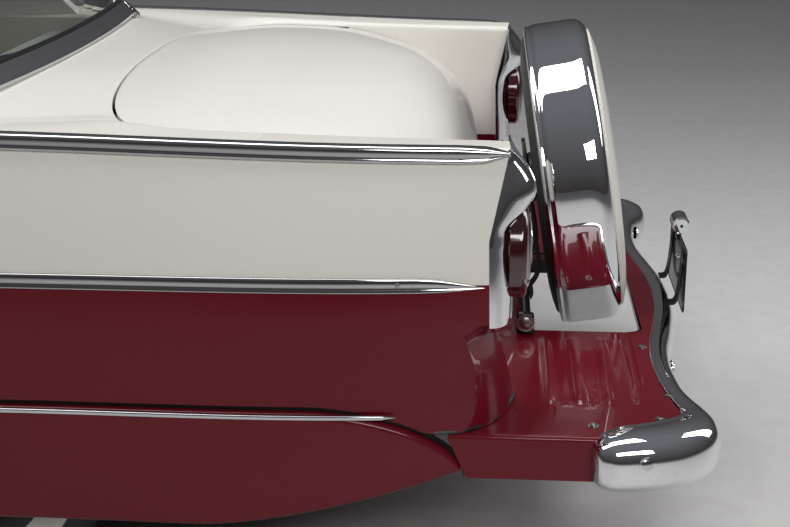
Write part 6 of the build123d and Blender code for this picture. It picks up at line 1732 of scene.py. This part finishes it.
def front_panel():
    """Panel between the fenders, its surface rolled into the grille opening, with a bright surround and bars."""
    turn = np.linspace(0, 2 * math.pi, 181)[:-1, None]
    mid_z, half_y, half_z = (GRILLE_LOW + GRILLE_HIGH) / 2, GRILLE_HALF, (GRILLE_HIGH - GRILLE_LOW) / 2
    c, s = np.cos(turn), np.sin(turn)
    inner_y, inner_z = half_y * np.sign(c) * np.abs(c) ** 0.35, half_z * np.sign(s) * np.abs(s) ** 0.55
    out_y = 0.697 * np.sign(c) * np.abs(c) ** 0.12
    out_z = np.where(s > 0, 0.900 - mid_z, mid_z - 0.442) * np.sign(s) * np.abs(s) ** 0.12
    reach = np.linspace(0, 1, 10)[None, :]
    depth = np.array([0.034, 0.020, 0.010, 0.004])
    y = np.concatenate([inner_y + 0 * depth, inner_y + (out_y - inner_y) * reach], axis=1)
    z = mid_z + np.concatenate([inner_z + 0 * depth, inner_z + (out_z - inner_z) * reach], axis=1)
    x = NOSE_X - 0.001 - np.concatenate([depth + 0 * turn, 0 * inner_y * reach], axis=1)
    piece("nose_panel", [facing(sheet(x, y, z, close_rows=True), (1, 0, 0))], "side",
          stands_for=["front_panel"], thick=0.003)
    ring = np.concatenate([np.full_like(c, NOSE_X - 0.002), inner_y * 1.004, mid_z + inner_z * 1.02], axis=1)
    surround = swept(ring, [(-0.010, -0.006), (-0.012, 0.004), (-0.004, 0.010), (0.006, 0.008), (0.012, 0.0), (0.010, -0.006)],
                     up=(1, 0, 0), ring=True)
    bars = []
    for i in range(7):
        z_bar = GRILLE_LOW + 0.024 + (GRILLE_HIGH - GRILLE_LOW - 0.048) * i / 6
        share = abs(z_bar - mid_z) / half_z
        reach_y = half_y * (1 - share**3.6) ** 0.30 * 0.985
        path = [(NOSE_X - 0.020 + 0.010 * (1 - (y_bar / reach_y) ** 2), y_bar, z_bar) for y_bar in np.linspace(-reach_y, reach_y, 60)]
        bars.append(swept(path, [(-0.010, 0.0), (-0.006, -0.0055), (0.010, -0.0035), (0.010, 0.0035), (-0.006, 0.0055)]))
    for y_bar in np.linspace(-0.52, 0.52, 27):
        high = half_z * (1 - (abs(y_bar) / half_y) ** 5) ** 0.5 * 0.96
        path = [(NOSE_X - 0.034, y_bar, mid_z + h) for h in np.linspace(-high, high, 12)]
        bars.append(swept(path, [(-0.003, -0.006), (0.003, -0.006), (0.003, 0.006), (-0.003, 0.006)], up=(1, 0, 0)))
    piece("grille_bars", [surround] + bars, "chrome", stands_for=["grille"], closed=True)
    piece("front_bar", [bumper(FRONT_LINE, NOSE_BAR_X, NOSE_BAR_Z, -1)], "chrome", closed=True, sharp=60,
          stands_for=["front_bumper"])
    irons = pad((2.334, 0.392, 0.330), (NOSE_BAR_X - 0.020, 0.452, 0.390), 0.15, 12)
    guards = []
    for side in (1, -1):
        guards.append(pad((NOSE_BAR_X - 0.020, side * 0.300 - 0.028, 0.368), (NOSE_BAR_X + 0.0305, side * 0.300 + 0.028, 0.515), 0.45, 18))
    piece("bar_irons", [irons, mirrored(irons)], "chassis", closed=True)
    piece("bar_guards", guards, "chrome", closed=True)


wheels()
seats()
steering()
dashboard()
engine()
front_panel()


# Studio: floor, lamps and camera

def studio():
    """Pale floor, a soft sky that darkens towards the horizon, and three large lamps."""
    side = 40.0
    mesh = bpy.data.meshes.new("floor")
    mesh.from_pydata([(-side, -side, 0), (side, -side, 0), (side, side, 0), (-side, side, 0)], [], [(0, 1, 2, 3)])
    floor = bpy.data.objects.new("floor", mesh)
    bpy.context.scene.collection.objects.link(floor)
    material, tree, shader = blank_finish("pale_floor")
    marks = speckled(tree, 0.6, 14.0)
    tree.links.new(ramp_between(tree, marks.outputs["Mask"], (0.56, 0.55, 0.54), (0.66, 0.65, 0.64), 0.1, 0.5),
                   shader.inputs["Base Color"])
    shader.inputs["Roughness"].default_value = 0.55
    mesh.materials.append(material)
    world = bpy.data.worlds.new("sky")
    bpy.context.scene.world = world
    world.use_nodes = True
    tree = world.node_tree
    place, parts = tree.nodes.new("ShaderNodeTexCoord"), tree.nodes.new("ShaderNodeSeparateXYZ")
    tree.links.new(place.outputs["Generated"], parts.inputs["Vector"])
    sky = ramp_between(tree, parts.outputs["Z"], (0.045, 0.04, 0.04), (0.17, 0.175, 0.19), 0.0, 0.9)
    tree.links.new(sky, tree.nodes["Background"].inputs["Color"])
    tree.nodes["Background"].inputs["Strength"].default_value = 1.0
    # lamp: place, size across and along, watts, aim
    for name, spot, size, power, aim in (
            ("lamp_over", (-1.0, 0.6, 4.6), (5.0, 1.6), 140, (-0.8, 0, 0)),
            ("lamp_camera_side", (-3.6, 4.8, 3.4), (3.0, 1.2), 112, (-1.2, 0, 0.6)),
            ("lamp_tail", (-6.0, -1.0, 3.4), (1.4, 3.4), 80, (-2.0, 0, 0.6)),
            ("lamp_front", (5.0, -2.5, 4.2), (2.6, 2.6), 110, (0.6, 0, 0.6))):
        lamp = bpy.data.lights.new(name, "AREA")
        lamp.shape, lamp.size, lamp.size_y, lamp.energy = "RECTANGLE", size[0], size[1], power
        holder = bpy.data.objects.new(name, lamp)
        holder.location = spot
        holder.rotation_euler = (Vector(aim) - Vector(spot)).to_track_quat("-Z", "Y").to_euler()
        bpy.context.scene.collection.objects.link(holder)


CAMERA_AT, CAMERA_LOOK = (-2.1786, 3.408, 1.555), (0.0697, -0.9532, -0.2943)


def camera():
    lens = bpy.data.cameras.new("photo_camera")
    lens.sensor_width, lens.lens = 36.0, 66.08
    holder = bpy.data.objects.new("photo_camera", lens)
    holder.location = CAMERA_AT
    holder.rotation_euler = Vector(CAMERA_LOOK).to_track_quat("-Z", "Y").to_euler()
    bpy.context.scene.collection.objects.link(holder)
    bpy.context.scene.camera = holder


studio()
camera()
bpy.context.scene.view_settings.view_transform = "Standard"
